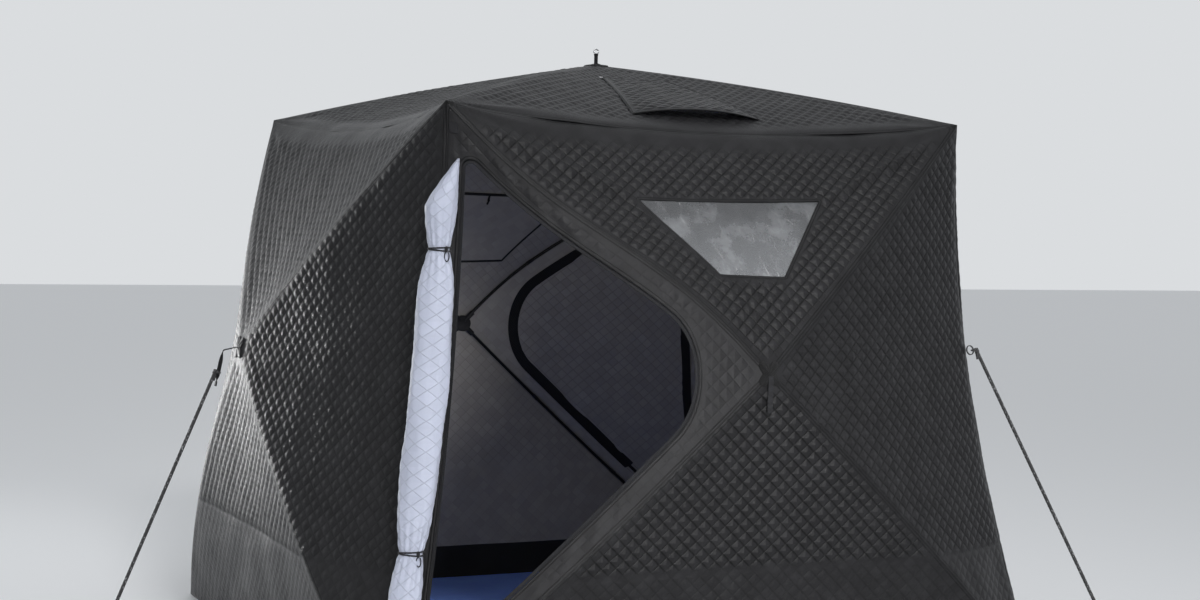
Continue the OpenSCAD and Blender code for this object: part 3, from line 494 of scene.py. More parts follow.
def ridge(flat, start, end, width):
    """A crease along a line: highest on the line, fading at its two ends."""
    start, d = np.asarray(start, float), np.subtract(end, start)
    t = ((flat - start) @ d) / (d @ d)
    off = np.linalg.norm(flat - start - np.clip(t, 0, 1)[:, None] * d, axis=1)
    return bell(off, width) * smooth(-0.04, 0.12, t) * (1 - smooth(0.75, 1.05, t))


def fan(flat, middle, reach, count, seed):
    """Folds that spread from a point where the cloth is pulled."""
    rng = np.random.default_rng(seed)
    d = flat - middle
    r = np.linalg.norm(d, axis=1)
    turn = np.arctan2(d[:, 1], d[:, 0])
    wave = np.zeros(len(flat))
    for k in range(3):
        many = round(count * (0.7 + 0.35 * k))
        wave += np.cos(many * turn + rng.uniform(0, 6.28) + 1.5 * np.sin(turn * 2)) / (1 + 0.5 * k)
    return wave * (r / (r + 0.05)) * np.exp(-((r / reach) ** 2)) / 2.2


def calm(facet, flat):
    """How far the cloth may lift: not at all where a patch or a tab is sewn on."""
    free = 0.1 + 0.9 * smooth(0.044, 0.075, np.linalg.norm(flat, axis=1))
    if facet.kind == "left":
        tab = on_chord_plane(facet, [TAB_BOX.mean(0)])
        free *= 0.05 + 0.95 * smooth(0.018, 0.045, np.linalg.norm(flat - tab, axis=1))
    return free


# Heights of the fans of folds at the hub and at the corners of each kind of facet
HUB_FAN, CORNER_FAN = 0.0044, {"eave": 0.0048, "corner": 0.0034, "ground": 0.0022}
# Height on the facet's chord plane for a height on the wall
CHORD_RISE = 1.103


def window_folds(facet, flat):
    """Creases that run from the window's corners to the poles, and from its sill to the hub."""
    height = 0.0
    for s in (-1, 1):
        top = np.array([s * WINDOW_HIGH_HALF, (WINDOW_HIGH - HUB_H) * CHORD_RISE])
        low = np.array([s * WINDOW_LOW_HALF, (WINDOW_LOW - HUB_H) * CHORD_RISE])
        corner = facet.a2 if s * facet.a2[0] > 0 else facet.b2
        height += 0.0050 * ridge(flat, top, top + 0.86 * (corner - top), 0.015)
        height -= 0.0030 * ridge(flat, top + [0, -0.03], corner + [0, -0.05], 0.022)
        height += 0.0030 * ridge(flat, top + [0, 0.02], corner + [0, -0.022], 0.010)
        height += 0.0045 * ridge(flat, low, low * 0.12, 0.012)
    for x in (-0.07, -0.025, 0.03, 0.075):
        height += 0.0040 * ridge(flat, [x, low[1] - 0.004], [0.1 * x, 0.03], 0.009)
    return height


def door_folds(facet, flat):
    """Gathers round the doorway, and the two seams of its hem."""
    rim = corners_of(on_chord_plane(facet, door_outline(0)))
    near = gap_to(flat, rim)
    turn = np.arctan2(*(flat - rim.mean(0)).T[::-1])
    wave = np.sin(60 * turn + 3 * np.sin(9 * turn)) * (0.6 + 0.6 * np.sin(7 * turn + 1))
    return (0.0018 * wave * bell(near - 0.034, 0.026)
            + 0.0022 * bell(near - 0.026, 0.004) - 0.0018 * bell(near - 0.017, 0.003))


def folds(facet, flat, place, world, seed, side):
    """Height of the cloth's folds and creases over its smooth surface."""
    height = 0.0016 * lumps(world, seed, 0.42)
    height += HUB_FAN * fan(flat, np.zeros(2), 0.13, 17, seed + 1)
    for k, corner in enumerate((facet.a2, facet.b2)):
        height += CORNER_FAN[facet.rim] * fan(flat, corner, 0.32, 22, seed + 2 + k)
    if facet.kind in ("right", "left", "base"):
        z = world[:, 2]
        low = 1 - smooth(SKIRT_SEAM - 0.09, SKIRT_SEAM + 0.01, z)
        along = world[:, :2] @ unit(facet.across[:2]) + 0.10 * z
        height += low * 0.0034 * lumps(np.column_stack([along, 0.5 * z]), seed + 5, 0.3)
    if side:
        height += (window_folds if side == "window" else door_folds)(facet, flat)
    return height * smooth(0, 0.03, facet.seam_gap(place)) * calm(facet, flat)


# How wide each kind of outer edge is rounded, and the share of that by which it is worn back
WORN_BACK = {"eave": (0.045, 0.21), "corner": (0.018, 0.33), "ground": (0.01, 0.0)}


def rounding(facet, place):
    """How far each edge and seam is worn back to a round."""
    *poles, edge = facet.border_gaps(place)
    u, v = shares(place)
    span = np.clip(4 * u * (1 - u), 0, 1)
    width, share = WORN_BACK[facet.rim]
    back = width * share * np.clip(1 - edge / width, 0, 1) ** 2 * np.clip(span * 6, 0, 1)
    ends = smooth(0, 0.05, v) * (1 - smooth(0.96, 1, v))
    return back, sum(0.0013 * np.clip(1 - gap / 0.014, 0, 1) ** 2 * ends for gap in poles)


def padding(facet, place, world, gap, side):
    """Share of the full padding: none in hems and under patches, and little in the skirt."""
    edge = facet.border_gaps(place)[2]
    share = smooth(0.001, 0.012, gap) * calm(facet, facet.flat(place))
    share *= 0.4 + 0.6 * smooth(0.0, 0.04, facet.seam_gap(place))
    if side == "door":
        share *= 0.10 + 0.28 * smooth(0.018, 0.034, gap)
    if side == "window":
        share *= 0.05 + 0.95 * smooth(0.014, 0.026, gap)
    if facet.rim == "eave":
        share *= smooth(0.045, 0.105, edge)
    if facet.rim == "corner":
        share *= 0.3 + 0.7 * smooth(0.01, 0.06, edge)
    if facet.kind in ("right", "left", "base"):
        z = world[:, 2] - SKIRT_SEAM
        share *= (0.45 + 0.55 * smooth(-0.02, 0.01, z)) * (1 - 0.95 * bell(z + 0.004, 0.010))
    return share


def puff_height(a, b):
    """Height of the full padding between the stitches."""
    body = 0.55 * pillow(a, b)
    body += 0.9 * np.minimum(np.abs(a - np.round(a)), np.abs(b - np.round(b)))
    return PUFF * body * (0.75 + 0.45 * cell_noise(a, b, 3))


def two_skins(border, holes, lattice, shape_out, shape_in, share=None):
    """Points, faces and cloth coordinates of cloth with two faces and turned edges."""
    width, height, cuts = lattice
    flat, tris, loops = meshed(border, holes, width, height, cuts)
    flat_in, tris_in, loops_in = meshed(border, holes, width, height, (cuts + 1) // 2)
    clear = [np.min([gap_to(points, loop) for loop in (border, *holes)], axis=0)
             for points in (flat, flat_in)]
    outer, inner = shape_out(flat, clear[0]), shape_in(flat_in, clear[1])
    count = len(outer)
    faces = [tris, tris_in[:, ::-1] + count]
    kinds = [np.zeros(len(tris)), np.ones(len(tris_in))]
    for k, (loop, loop_in) in enumerate(zip(loops, loops_in)):
        if (signed_area(flat[loop]) > 0) == bool(k):
            loop, loop_in = loop[::-1], loop_in[::-1]
        ahead, low, low_ahead = np.roll(loop, -1), loop_in + count, np.roll(loop_in, -1) + count
        faces += [np.stack([loop, low, low_ahead], 1), np.stack([loop, low_ahead, ahead], 1)]
        kinds.append(np.zeros(2 * len(loop)))
    cloth = np.vstack([np.column_stack([flat, clear[0]]), np.column_stack([flat_in, clear[1]])])
    if share:
        cloth = np.column_stack([cloth, share(cloth[:, :2], cloth[:, 2])])
    a, b, c = (outer[tris[:, k]] for k in range(3))
    area = np.linalg.norm(np.cross(b - a, c - a), axis=1).sum() / 2
    return np.vstack([outer, inner]), np.vstack(faces), np.concatenate(kinds), cloth, float(area)


def cloth_panel(node, kind, turn, materials, lattice, seed, border=None, opening=None, side=""):
    """Quilted panel with its puffed outer face, its lining and its turned edges."""
    facet = Facet(kind, sway_of(turn))
    if border is None:
        border = border_of(facet, 0.5 * math.hypot(*lattice[:2]) / lattice[2])
    else:
        border = turned_left(on_chord_plane(facet, border))
    holes = [] if opening is None else [on_chord_plane(facet, opening)]
    tight = 0.5 if kind == "roof" else 0.42 if turn in (LEFT, RIGHT) else 1.0
    tight *= 0.7 if tight < 1 and kind == "base" else 1.0

    def layer(depth):
        def build(flat, gap):
            place = facet.place(flat)
            world, (back, seam) = facet.skin(place), rounding(facet, place)
            lift = folds(facet, flat, place, world, seed, side)
            if depth:
                lift -= LINING_PUFF * pillow(*diamonds(flat, lattice)) * smooth(0.01, 0.03, gap)
                world, seam = facet.skin(place, depth), 0.0
            else:
                lift += (puff_height(*diamonds(flat, lattice))
                         * padding(facet, place, world, gap, side))
                if kind in ("right", "left", "base"):
                    lift -= 0.0018 * bell(world[:, 2] - SKIRT_SEAM, 0.004) * smooth(0, 0.02, gap)
            return (world + facet.normal(place) * lift[:, None]
                    + facet.inwards(place) * (back + seam)[:, None])
        return build

    def share(flat, gap):
        place = facet.place(flat)
        return tight * padding(facet, place, facet.skin(place), gap, side)

    points, faces, kinds, cloth, area = two_skins(border, holes, lattice, layer(0),
                                                  layer(CLOTH_T), share)
    points[:, 2] = np.maximum(points[:, 2], 0)
    piece = new_piece(node + "_cloth", turned(points, turn), faces, materials, kinds, cloth, 55)
    dressed(piece, node)
    if holes and kind == "left":
        strip = sum(np.linalg.norm(e) for e in (facet.a2, facet.b2, facet.b2 - facet.a2))
    return piece


# ---------------------------------------------------------------- finishes

class Graph:
    """Adds and joins shader nodes."""

    def __init__(self, tree):
        self.tree = tree
        tree.nodes.clear()

    def add(self, kind, links=None, **settings):
        node = self.tree.nodes.new("ShaderNode" + kind)
        for name, value in settings.items():
            setattr(node, name, value)
        for socket, value in (links or {}).items():
            target = node.inputs[socket]
            if isinstance(value, bpy.types.NodeSocket):
                self.tree.links.new(value, target)
            else:
                target.default_value = value
        return node

    def math(self, operation, a, b=0.0, c=0.0, clamp=False):
        links = {0: a, 1: b}
        if operation in ("MULTIPLY_ADD", "SMOOTH_MIN"):
            links[2] = c
        return self.add("Math", links, operation=operation, use_clamp=clamp).outputs[0]

    def ramp(self, value, low, high, to_low=0.0, to_high=1.0):
        return self.add("MapRange", {0: value, 1: low, 2: high, 3: to_low, 4: to_high},
                        interpolation_type="SMOOTHSTEP").outputs[0]

    def noise(self, vector, scale, detail=2.0, rough=0.5):
        return self.add("TexNoise", {"Vector": vector, "Scale": scale, "Detail": detail,
                                     "Roughness": rough}).outputs[0]

    def mix(self, share, a, b):
        return self.add("Mix", {0: share, 6: a, 7: b}, data_type="RGBA").outputs[2]

    def split(self, vector):
        return self.add("SeparateXYZ", {0: vector}).outputs

    def where(self):
        return self.add("TexCoord").outputs["Object"]

    def cloth(self):
        return self.add("Attribute", attribute_name="cloth").outputs["Vector"]

    def cells(self, s, t):
        """A random value for each cell between the lines where s + t or s - t is whole."""
        whole = self.add("CombineXYZ", {0: self.math("FLOOR", self.math("ADD", s, t)),
                                        1: self.math("FLOOR", self.math("SUBTRACT", s, t))})
        return self.add("TexWhiteNoise", {"Vector": whole.outputs[0]},
                        noise_dimensions="3D").outputs["Value"]


def quilting(g, source):
    """Stitch lines, puff and cells of a diamond quilting, from the cloth coordinates."""
    split = g.split(source["Cloth"])
    s = g.math("DIVIDE", split[0], source["Width"])
    t = g.math("DIVIDE", split[1], source["Height"])
    near = g.math("SMOOTH_MIN", *(g.math("PINGPONG", g.math(way, s, t), 0.5)
                                  for way in ("ADD", "SUBTRACT")), 0.05)
    line = g.math("SUBTRACT", 1.0, g.ramp(near, 0.0, source["Line"]))
    puff = g.math("POWER", g.math("MULTIPLY", near, 2.0, clamp=True), 0.85)
    return line, puff, g.cells(s, t)


def weaving(g, source):
    """Height and mottling of a fine woven cloth."""
    scaled = g.add("VectorMath", {0: source["Vector"],
                                  "Scale": g.math("DIVIDE", 1.0, source["Pitch"])},
                   operation="SCALE").outputs[0]
    x, y, z = (g.math("SINE", g.math("MULTIPLY", part, 6.2832)) for part in g.split(scaled))
    height = g.math("MULTIPLY", g.math("ADD", x, z), g.math("ADD", y, 0.4))
    return height, g.noise(source["Vector"], 9.0, 4.0, 0.6)


def dusting(g, source):
    """Pale dust that gathers low on the hut and in broken patches."""
    level = g.ramp(g.split(source["Vector"])[2], source["High"], source["Low"])
    patch = g.ramp(g.noise(source["Vector"], 14.0, 6.0, 0.65), 0.42, 0.7)
    return (g.math("MULTIPLY", g.math("ADD", level, 0.25), patch),)


# The node groups that several finishes share: their builder, inputs and outputs
EFFECTS = {
    "Quilt stitches": (quilting, [("Cloth", "Vector", None), ("Width", "Float", 0.048),
                                  ("Height", "Float", 0.044), ("Line", "Float", 0.06)],
                       ("Stitch", "Puff", "Cell")),
    "Plain weave": (weaving, [("Vector", "Vector", None), ("Pitch", "Float", 0.0011)],
                    ("Height", "Mottle")),
    "Dust and scuffs": (dusting, [("Vector", "Vector", None), ("Low", "Float", 0.0),
                                  ("High", "Float", 0.35)], ("Dust",)),
}


def effect(g, label, **links):
    """Outputs of a shared node group, which is made when it is first asked for."""
    tree = bpy.data.node_groups.get(label)
    if not tree:
        tree = bpy.data.node_groups.new(label, "ShaderNodeTree")
        build, inputs, outputs = EFFECTS[label]
        for name, kind, value in inputs:
            socket = tree.interface.new_socket(name, in_out="INPUT",
                                               socket_type="NodeSocket" + kind)
            if value is not None:
                socket.default_value = value
        for name in outputs:
            tree.interface.new_socket(name, in_out="OUTPUT", socket_type="NodeSocketFloat")
        inner = Graph(tree)
        source, sink = (tree.nodes.new("NodeGroup" + end) for end in ("Input", "Output"))
        for name, value in zip(outputs, build(inner, source.outputs)):
            tree.links.new(value, sink.inputs[name])
    return g.add("Group", links, node_tree=tree).outputs


def tint(colour, share=1.0):
    return (*[c * share for c in colour], 1.0)


class Finishes:
    """The hut's materials, each made when it is first asked for, and the steps of its quilting."""

    def __init__(self, context):
        sizes = context.scene.hut_sizes
        self.colours = context.scene.hut_colours
        self.lattice = sizes.quilt_width, sizes.quilt_height, sizes.quilt_cuts

    def __call__(self, *names):
        return [bpy.data.materials.get(name) or self.made(name) for name in names]

    def made(self, name):
        material = bpy.data.materials.new(name)
        material.use_nodes = True
        g = Graph(material.node_tree)
        (height, distance, strength), sockets = getattr(self, name)(g)
        bump = g.add("Bump", {"Height": height, "Distance": distance, "Strength": strength})
        shader = g.add("BsdfPrincipled", {"Normal": bump.outputs[0], **sockets})
        g.add("OutputMaterial", {0: shader.outputs[0]})
        return material

    # The fifth number given to quilted is the colour share in the stitch valleys: painted shade in
    # the valleys.
    def outer_cloth(self, g):
        return self.quilted(g, self.colours.fabric, 0.42, 0.03, 0.12, 0.15, 0.9, gloss=0.17,
                            puff=3.8)

    def inner_cloth(self, g):
        return self.quilted(g, self.colours.lining, 0.62, 0.2, 0.05, 0.8, 0.35, band=0.128,
                            puff=0.8)

    def roll_cloth(self, g):
        return self.quilted(g, self.colours.roll, 0.5, 0.25, 0.05, 0.9, 0.14, puff=2.4)

    def patch_cloth(self, g):
        # A darker copy of the outer cloth, 0.35 of its colour: painted shade of the pleated folds
        # round the hub.
        return self.webbing(g, tint(self.colours.fabric, 0.35)[:3], 0.7, 0.0016)

    def mat_cloth(self, g):
        return self.webbing(g, self.colours.mat, 0.5, 0.0012)

    def black_webbing(self, g):
        return self.webbing(g, self.colours.trim, 0.62, 0.0021)

    def thread(self, g):
        return self.webbing(g, (0.62, 0.62, 0.64), 0.6, 0.0008)

    def moulded_nylon(self, g):
        return self.plastic(g, self.colours.hub, 0.45, 0.0, 900.0)

    def pole_gloss(self, g):
        return self.plastic(g, self.colours.pole, 0.42, 0.05, 400.0)

    def quilted(self, g, colour, rough, sheen, line, valley_shade, mottle, band=0.0, gloss=0.4, puff=0.5):
        """Quilted cloth: colour by cell and mottling, darkened along the stitch valleys as painted
        shade and along the seam and edge lines, with weave and thread in the bump.
        """
        cloth, where = g.cloth(), g.where()
        width, height, _ = self.lattice
        quilt = effect(g, "Quilt stitches", Cloth=cloth, Width=width, Height=height, Line=line)
        weave = effect(g, "Plain weave", Vector=where, Pitch=0.0016)
        dust = effect(g, "Dust and scuffs", Vector=where)["Dust"]
        gap = g.split(cloth)[2]
        off_seam = g.math("ABSOLUTE", g.math("SUBTRACT", gap, 0.009))
        seam = g.math("SUBTRACT", 1.0, g.ramp(off_seam, 0.0008, 0.0022))
        edge = g.math("SUBTRACT", 1.0, g.ramp(gap, 0.0005, 0.0035))
        share = g.add("Attribute", attribute_name="padding").outputs["Fac"]
        stitch = g.math("MULTIPLY", quilt["Stitch"], share)
        lines = g.math("MAXIMUM", stitch, g.math("MAXIMUM", seam, edge))
        blend = g.math("MULTIPLY", weave["Mottle"], g.math("ADD", quilt["Cell"], 0.4))
        mottled = g.mix(blend, tint(colour), tint(colour, 1 + mottle))
        # Darker along the stitch valleys: painted shade in the valleys; the seam line 9 mm in and
        # the panel's edge are darkened the same way.
        stitched = g.mix(lines, mottled, tint(colour, valley_shade))
        shown = g.mix(g.math("MULTIPLY", dust, DUST), stitched, (0.42, 0.43, 0.45, 1))
        if band:
            z = g.split(where)[2]
            shown = g.mix(g.ramp(z, band + 0.002, band), shown, (0.004, 0.004, 0.0045, 1))
        tall = g.math("MULTIPLY_ADD", lines, -1.0, g.math("MULTIPLY", weave["Height"], 0.06))
        tall = g.math("MULTIPLY_ADD", g.math("MULTIPLY", quilt["Puff"], share), puff, tall)
        return (tall, 0.0009, 1.0), {
            "Base Color": shown, "Specular IOR Level": gloss, "Sheen Weight": sheen,
            "Roughness": g.math("MULTIPLY_ADD", weave["Mottle"], 0.16, rough - 0.08),
            "Sheen Roughness": 0.45, "Sheen Tint": (0.9, 0.93, 1.0, 1.0)}

    def webbing(self, g, colour, rough, pitch):
        """Woven tape or coated cloth."""
        where = g.where()
        weave = effect(g, "Plain weave", Vector=where, Pitch=pitch)
        dust = effect(g, "Dust and scuffs", Vector=where)["Dust"]
        mixed = g.mix(weave["Mottle"], tint(colour), tint(colour, 1.9))
        return (weave["Height"], 0.0004, 1.0), {
            "Base Color": g.mix(g.math("MULTIPLY", dust, DUST), mixed, (0.4, 0.41, 0.43, 1)),
            "Roughness": g.ramp(weave["Mottle"], 0.2, 0.8, rough - 0.08, rough + 0.1),
            "Specular IOR Level": 0.2, "Sheen Weight": 0.05}

    def plastic(self, g, colour, rough, coat, grain):
        """Moulded plastic or fibreglass with a fine grain and rubbed, paler patches."""
        where = g.where()
        wide = g.noise(where, 22.0, 5.0, 0.6)
        return (g.noise(where, grain), 0.0002, 0.6), {
            "Base Color": g.mix(g.ramp(wide, 0.45, 0.75), tint(colour), tint(colour, 2.2)),
            "Roughness": g.ramp(wide, 0.3, 0.7, rough - 0.06, rough + 0.1),
            "Specular IOR Level": 0.25, "Coat Weight": coat, "Coat Roughness": 0.2}

    def film(self, g):
        """Hazy clear film: thin, creased and partly see-through."""
        where = g.where()
        haze = g.noise(where, 11.0, 6.0, 0.62)
        scratch = g.add("Mapping", {"Vector": where, "Rotation": (0.0, 0.6, 0.0),
                                    "Scale": (1.0, 1.0, 0.12)}).outputs[0]
        scratch = g.ramp(g.noise(scratch, 240.0, 4.0, 0.7), 0.60, 0.74)
        crease = g.add("TexVoronoi", {"Vector": where, "Scale": 17.0, "Randomness": 1.0},
                       feature="DISTANCE_TO_EDGE").outputs["Distance"]
        sharp = g.math("SUBTRACT", 1.0, g.ramp(crease, 0.0, 0.045))
        level = g.split(where)[2]
        pale = g.math("MULTIPLY_ADD", scratch, 0.5, g.ramp(haze, 0.35, 0.8, 0.0, 0.35))
        pale = g.math("MULTIPLY_ADD", sharp, 0.07, pale)
        pale = g.math("ADD", pale, g.ramp(level, 1.60, 1.34, -0.15, 0.35), clamp=True)
        pale = g.math("MULTIPLY", pale, g.ramp(level, 1.562, 1.554, 0.25, 1.0))
        height = g.math("MULTIPLY_ADD", sharp, 0.35, g.noise(where, 34.0, 4.0, 0.7))
        return (height, 0.0020, 1.0), {
            "Base Color": g.mix(pale, tint(self.colours.film), (0.31, 0.32, 0.335, 1.0)),
            "Alpha": g.ramp(haze, 0.3, 0.8, 0.66, 0.88),
            "Roughness": g.ramp(haze, 0.2, 0.8, 0.16, 0.36),
            "Coat Weight": 0.3, "Coat Roughness": 0.08}

    def mesh_screen(self, g):
        """Fine black netting with open holes."""
        split = g.split(g.cloth())
        thread = g.math("MINIMUM", *(g.math("PINGPONG", g.math("DIVIDE", split[k], 0.0016), 0.5)
                                     for k in (0, 1)))
        return (thread, 0.0004, 0.5), {
            "Base Color": g.mix(g.ramp(thread, 0.0, 0.2), (0.03, 0.03, 0.032, 1),
                                (0.01, 0.01, 0.011, 1)),
            "Alpha": g.ramp(thread, 0.22, 0.16), "Roughness": 0.6}

    def braid(self, g):
        """Black braid with pale flecks."""
        where, split = g.where(), g.split(g.cloth())
        cell = g.cells(split[0], split[1])
        colour = g.mix(g.math("GREATER_THAN", cell, 0.92), tint(self.colours.rope),
                       (0.22, 0.225, 0.235, 1.0))
        worn = g.math("MULTIPLY", g.noise(where, 70.0, 4.0), 0.12)
        return (g.noise(where, 900.0), 0.0003, 1.0), {
            "Base Color": g.mix(worn, colour, (0.10, 0.10, 0.105, 1)),
            "Roughness": g.ramp(cell, 0.0, 1.0, 0.55, 0.8), "Sheen Weight": 0.3}

    def steel(self, g):
        """Plated steel, duller where it is worn."""
        where = g.where()
        worn = g.noise(where, 60.0, 6.0, 0.65)
        return (g.noise(where, 700.0), 0.0002, 1.0), {
            "Base Color": g.mix(g.ramp(worn, 0.45, 0.7), tint(self.colours.anchor),
                                (0.33, 0.31, 0.29, 1.0)),
            "Metallic": 1.0, "Roughness": g.ramp(worn, 0.3, 0.7, 0.25, 0.5)}


# ---------------------------------------------------------------- door roll, hood and other cloth

def grid_faces(rows, columns, closed=True):
    """Quads of a grid of points, row by row, closed or open across."""
    r, c = np.meshgrid(np.arange(rows - 1), np.arange(columns - (not closed)), indexing="ij")
    a, b = (r * columns + c).ravel(), (r * columns + (c + 1) % columns).ravel()
    return np.stack([a, b, b + columns, a + columns], 1)


def slab(rows, columns):
    """Faces of an open grid's top, of its underside and of the rim between them."""
    quads, total = grid_faces(rows, columns, closed=False), rows * columns
    spot = np.arange(total).reshape(rows, columns)
    rim = np.concatenate([spot[0], spot[1:, -1], spot[-1, -2::-1], spot[-2:0:-1, 0]])
    ahead = np.roll(rim, -1)
    return quads, quads[:, ::-1] + total, np.stack([rim, rim + total, ahead + total, ahead], 1)


def edge_of(facet, h):
    """Points of a corner edge at these heights."""
    share = h / EAVE_H
    if facet.corners[0][2] > facet.corners[1][2]:
        share = 1 - share
    return facet.skin(np.stack([1 - share, share], 1))


def at_ties(h, width):
    return bell(h - UPPER_TIE, width), bell(h - LOWER_TIE, width)


def roll_frame(h):
    """Middle of the roll at these heights, with its outward and along directions and half sizes."""
    facet, v = Facet("left"), ROLL_AIM
    share = np.maximum(0, (h - (1 - v) * HUB_H) / (v * EAVE_H))
    along = facet.skin(np.stack([v * (1 - share), v * share], 1)) - edge_of(facet, h)
    along[:, 2] = 0
    along = unit(along)
    out = np.stack([along[:, 1], -along[:, 0], np.zeros(len(h))], 1)
    upper, lower = at_ties(h, 0.07)
    slack = np.clip((h - LOWER_TIE) / (UPPER_TIE - LOWER_TIE), -1, 1.2)
    s = 1 - 0.34 * upper - 0.28 * lower + 0.14 * np.sin(np.pi * slack)
    neck = 1 - 0.94 * np.clip((h - ROLL_TOP + ROLL_NECK) / ROLL_NECK, 0, 1) ** 1.15
    half, wide = ROLL_D / 2 * (0.5 + 0.5 * s) * (0.25 + 0.75 * neck), ROLL_W / 2 * s * neck
    middle = edge_of(facet, h) + (half + ROLL_LIFT)[:, None] * out
    return middle + (ROLL_W / 2 * s - wide)[:, None] * along, out, along, half, wide


def door_roll(materials):
    """The door flap rolled up along the corner edge, with its lapped edge and spiral ends."""
    rows, sides, rings = 330, 96, 14
    turn = circle(sides)
    level = np.linspace(ROLL_BOTTOM, ROLL_TOP, rows)
    middle, out, along, half, wide = roll_frame(level)
    t, h = np.meshgrid(turn, level)
    lap = (t - (2.35 + 0.15 * np.sin(h * 4.1) + 0.1 * np.sin(h * 11.0))) % (2 * np.pi)
    spiral = 0.07 * (1 - lap / (2 * np.pi)) - 0.035
    tie, held, pinch = (sum(at_ties(h, width)) for width in (0.10, 0.011, 0.006))
    gathers = 0.05 * tie * np.cos(13 * t + 2 * np.sin(h * 9)) * (1 - pinch)
    soft = (0.030 * np.sin(3 * t + 9 * h) + 0.024 * np.sin(5 * t - 14 * h + 1.0)
            + 0.018 * np.sin(2 * t + 23 * h) + 0.012 * np.sin(8 * t + 31 * h + 2.0))
    soft = soft * (0.35 + 0.65 * np.clip(1 - tie, 0, 1))
    size = 1 + (spiral + gathers + soft) * (1 - 0.85 * held) - 0.05 * held
    a, b = lap * 0.04 / 0.048, h / 0.044
    puff = pillow(a + b, a - b) ** 0.6 * 0.0016 * (1 - held)
    edge = np.minimum(h - ROLL_BOTTOM, ROLL_TOP - h)
    size *= 1 - 0.10 * bell(edge, 0.006)
    x = (half[:, None] * size + puff) * np.cos(t)
    y = (wide[:, None] * size + puff) * np.sin(t)
    points = middle[:, None] + x[..., None] * out[:, None] + y[..., None] * along[:, None]
    faces = [tris_of(grid_faces(rows, sides)[:, ::-1])]
    cloth = [np.stack([lap * 0.04, h, np.minimum(edge, 0.05)], -1).reshape(-1, 3)]
    pieces, start = [points.reshape(-1, 3)], rows * sides
    share = np.linspace(1, 0.06, rings)[1:]
    coil = (share[:, None] * 3.6 + turn[None] / (2 * np.pi)) % 1
    deep = 0.006 * smooth(0, 0.25, coil) * (1 - smooth(0.75, 1, coil)) - 0.009
    deep = deep * smooth(1.0, 0.85, share)[:, None]
    for row, way in ((0, -1), (rows - 1, 1)):
        rim, centre = points[row], points[row].mean(0)
        disc = centre + (rim[None] - centre) * share[:, None, None]
        disc[..., 2] += way * deep
        inner = start + np.arange(deep.size).reshape(deep.shape)
        spot = np.vstack([row * sides + np.arange(sides), inner])
        ahead = np.roll(spot, -1, 1)
        quads = np.stack([s.ravel() for s in (spot[:-1], ahead[:-1], ahead[1:], spot[1:])], 1)
        start += deep.size + 1
        tris = np.vstack([tris_of(quads), np.stack([spot[-1], ahead[-1],
                                                    np.full(sides, start - 1)], 1)])
        faces.append(tris[:, ::way])
        pieces += [disc.reshape(-1, 3), disc[-1].mean(0)[None]]
        cloth += [np.zeros((deep.size, 3)) + [0.1, 0.1, 0.02], np.zeros((1, 3)) + 0.1]
    cloth = np.vstack(cloth)
    piece = new_piece("front_door_roll_cloth", np.vstack(pieces), np.vstack(faces), materials, None,
                      np.column_stack([cloth, np.ones(len(cloth))]), 60)
    return dressed(piece, "front_door_roll")


def vent_hood(materials, lattice):
    """Hood sewn to the roof along three sides, with an arched open lip."""
    facet = Facet("roof")
    rows, columns = 90, 84
    s, x = np.meshgrid(np.linspace(0, 1, rows), np.linspace(-1, 1, columns), indexing="ij")
    half = HOOD_TOP_HALF + HOOD_FLARE * s
    outline = np.stack([(half * -x).ravel(), -(HOOD_TOP + HOOD_LONG * s).ravel()], 1)
    flat = on_chord_plane(facet, outline)
    place = facet.place(flat)
    lift = (HOOD_ARCH * s ** 1.6 * (1 - x * x)).ravel()
    a, b = diamonds(flat, lattice)
    gap = np.min([s * HOOD_LONG, (1 - s) * HOOD_LONG, (1 - np.abs(x)) * half], axis=0).ravel()
    padded = smooth(0.012, 0.026, gap)
    puff = 0.0026 * np.clip(pillow(a, b) / 0.75, 0, 1) ** 0.6
    puff = puff * padded * (0.7 + 0.5 * cell_noise(a, b, 5))
    fold = 0.0020 * lumps(np.stack([x.ravel(), s.ravel()], 1), 77, 1.1) * smooth(0, 0.05, gap)
    hem = -0.0012 * bell(gap - 0.012, 0.0025)
    thick = HOOD_T * (0.45 + 0.55 * smooth(0, 0.006, gap))
    base, normal = facet.skin(place, -(HOOD_SEAT + lift)), facet.normal(place)
    top, under = (base + normal * high[:, None] for high in (thick + puff + fold + hem, fold * 0.6))
    faces = slab(rows, columns)
    kinds = np.repeat([0, 1, 0], [len(part) for part in faces])
    cloth = np.tile(np.column_stack([flat, gap, padded]), (2, 1))
    piece = new_piece("roof_vent_hood_cloth", np.vstack([top, under]), np.vstack(faces), materials,
                      kinds, cloth, 60)
    dressed(piece, "roof_vent_hood")
    return piece


def facet_patch(name, facet, outline, depth, thick, turn, materials, step, shape=None):
    """Thin piece that follows a facet inside an outline, between two depths."""
    def layer(low):
        def build(flat, gap):
            place = facet.place(flat)
            lift = shape(flat, gap) if shape else 0.0
            return facet.skin(place, low) + facet.normal(place) * np.reshape(lift, (-1, 1))
        return build

    border = turned_left(on_chord_plane(facet, outline))
    points, faces, kinds, cloth, area = two_skins(border, [], (step * 1.4, step * 1.4, 1),
                                                  layer(depth), layer(depth + thick))
    return new_piece(name, turned(points, turn), faces, materials, kinds, cloth, 50), area


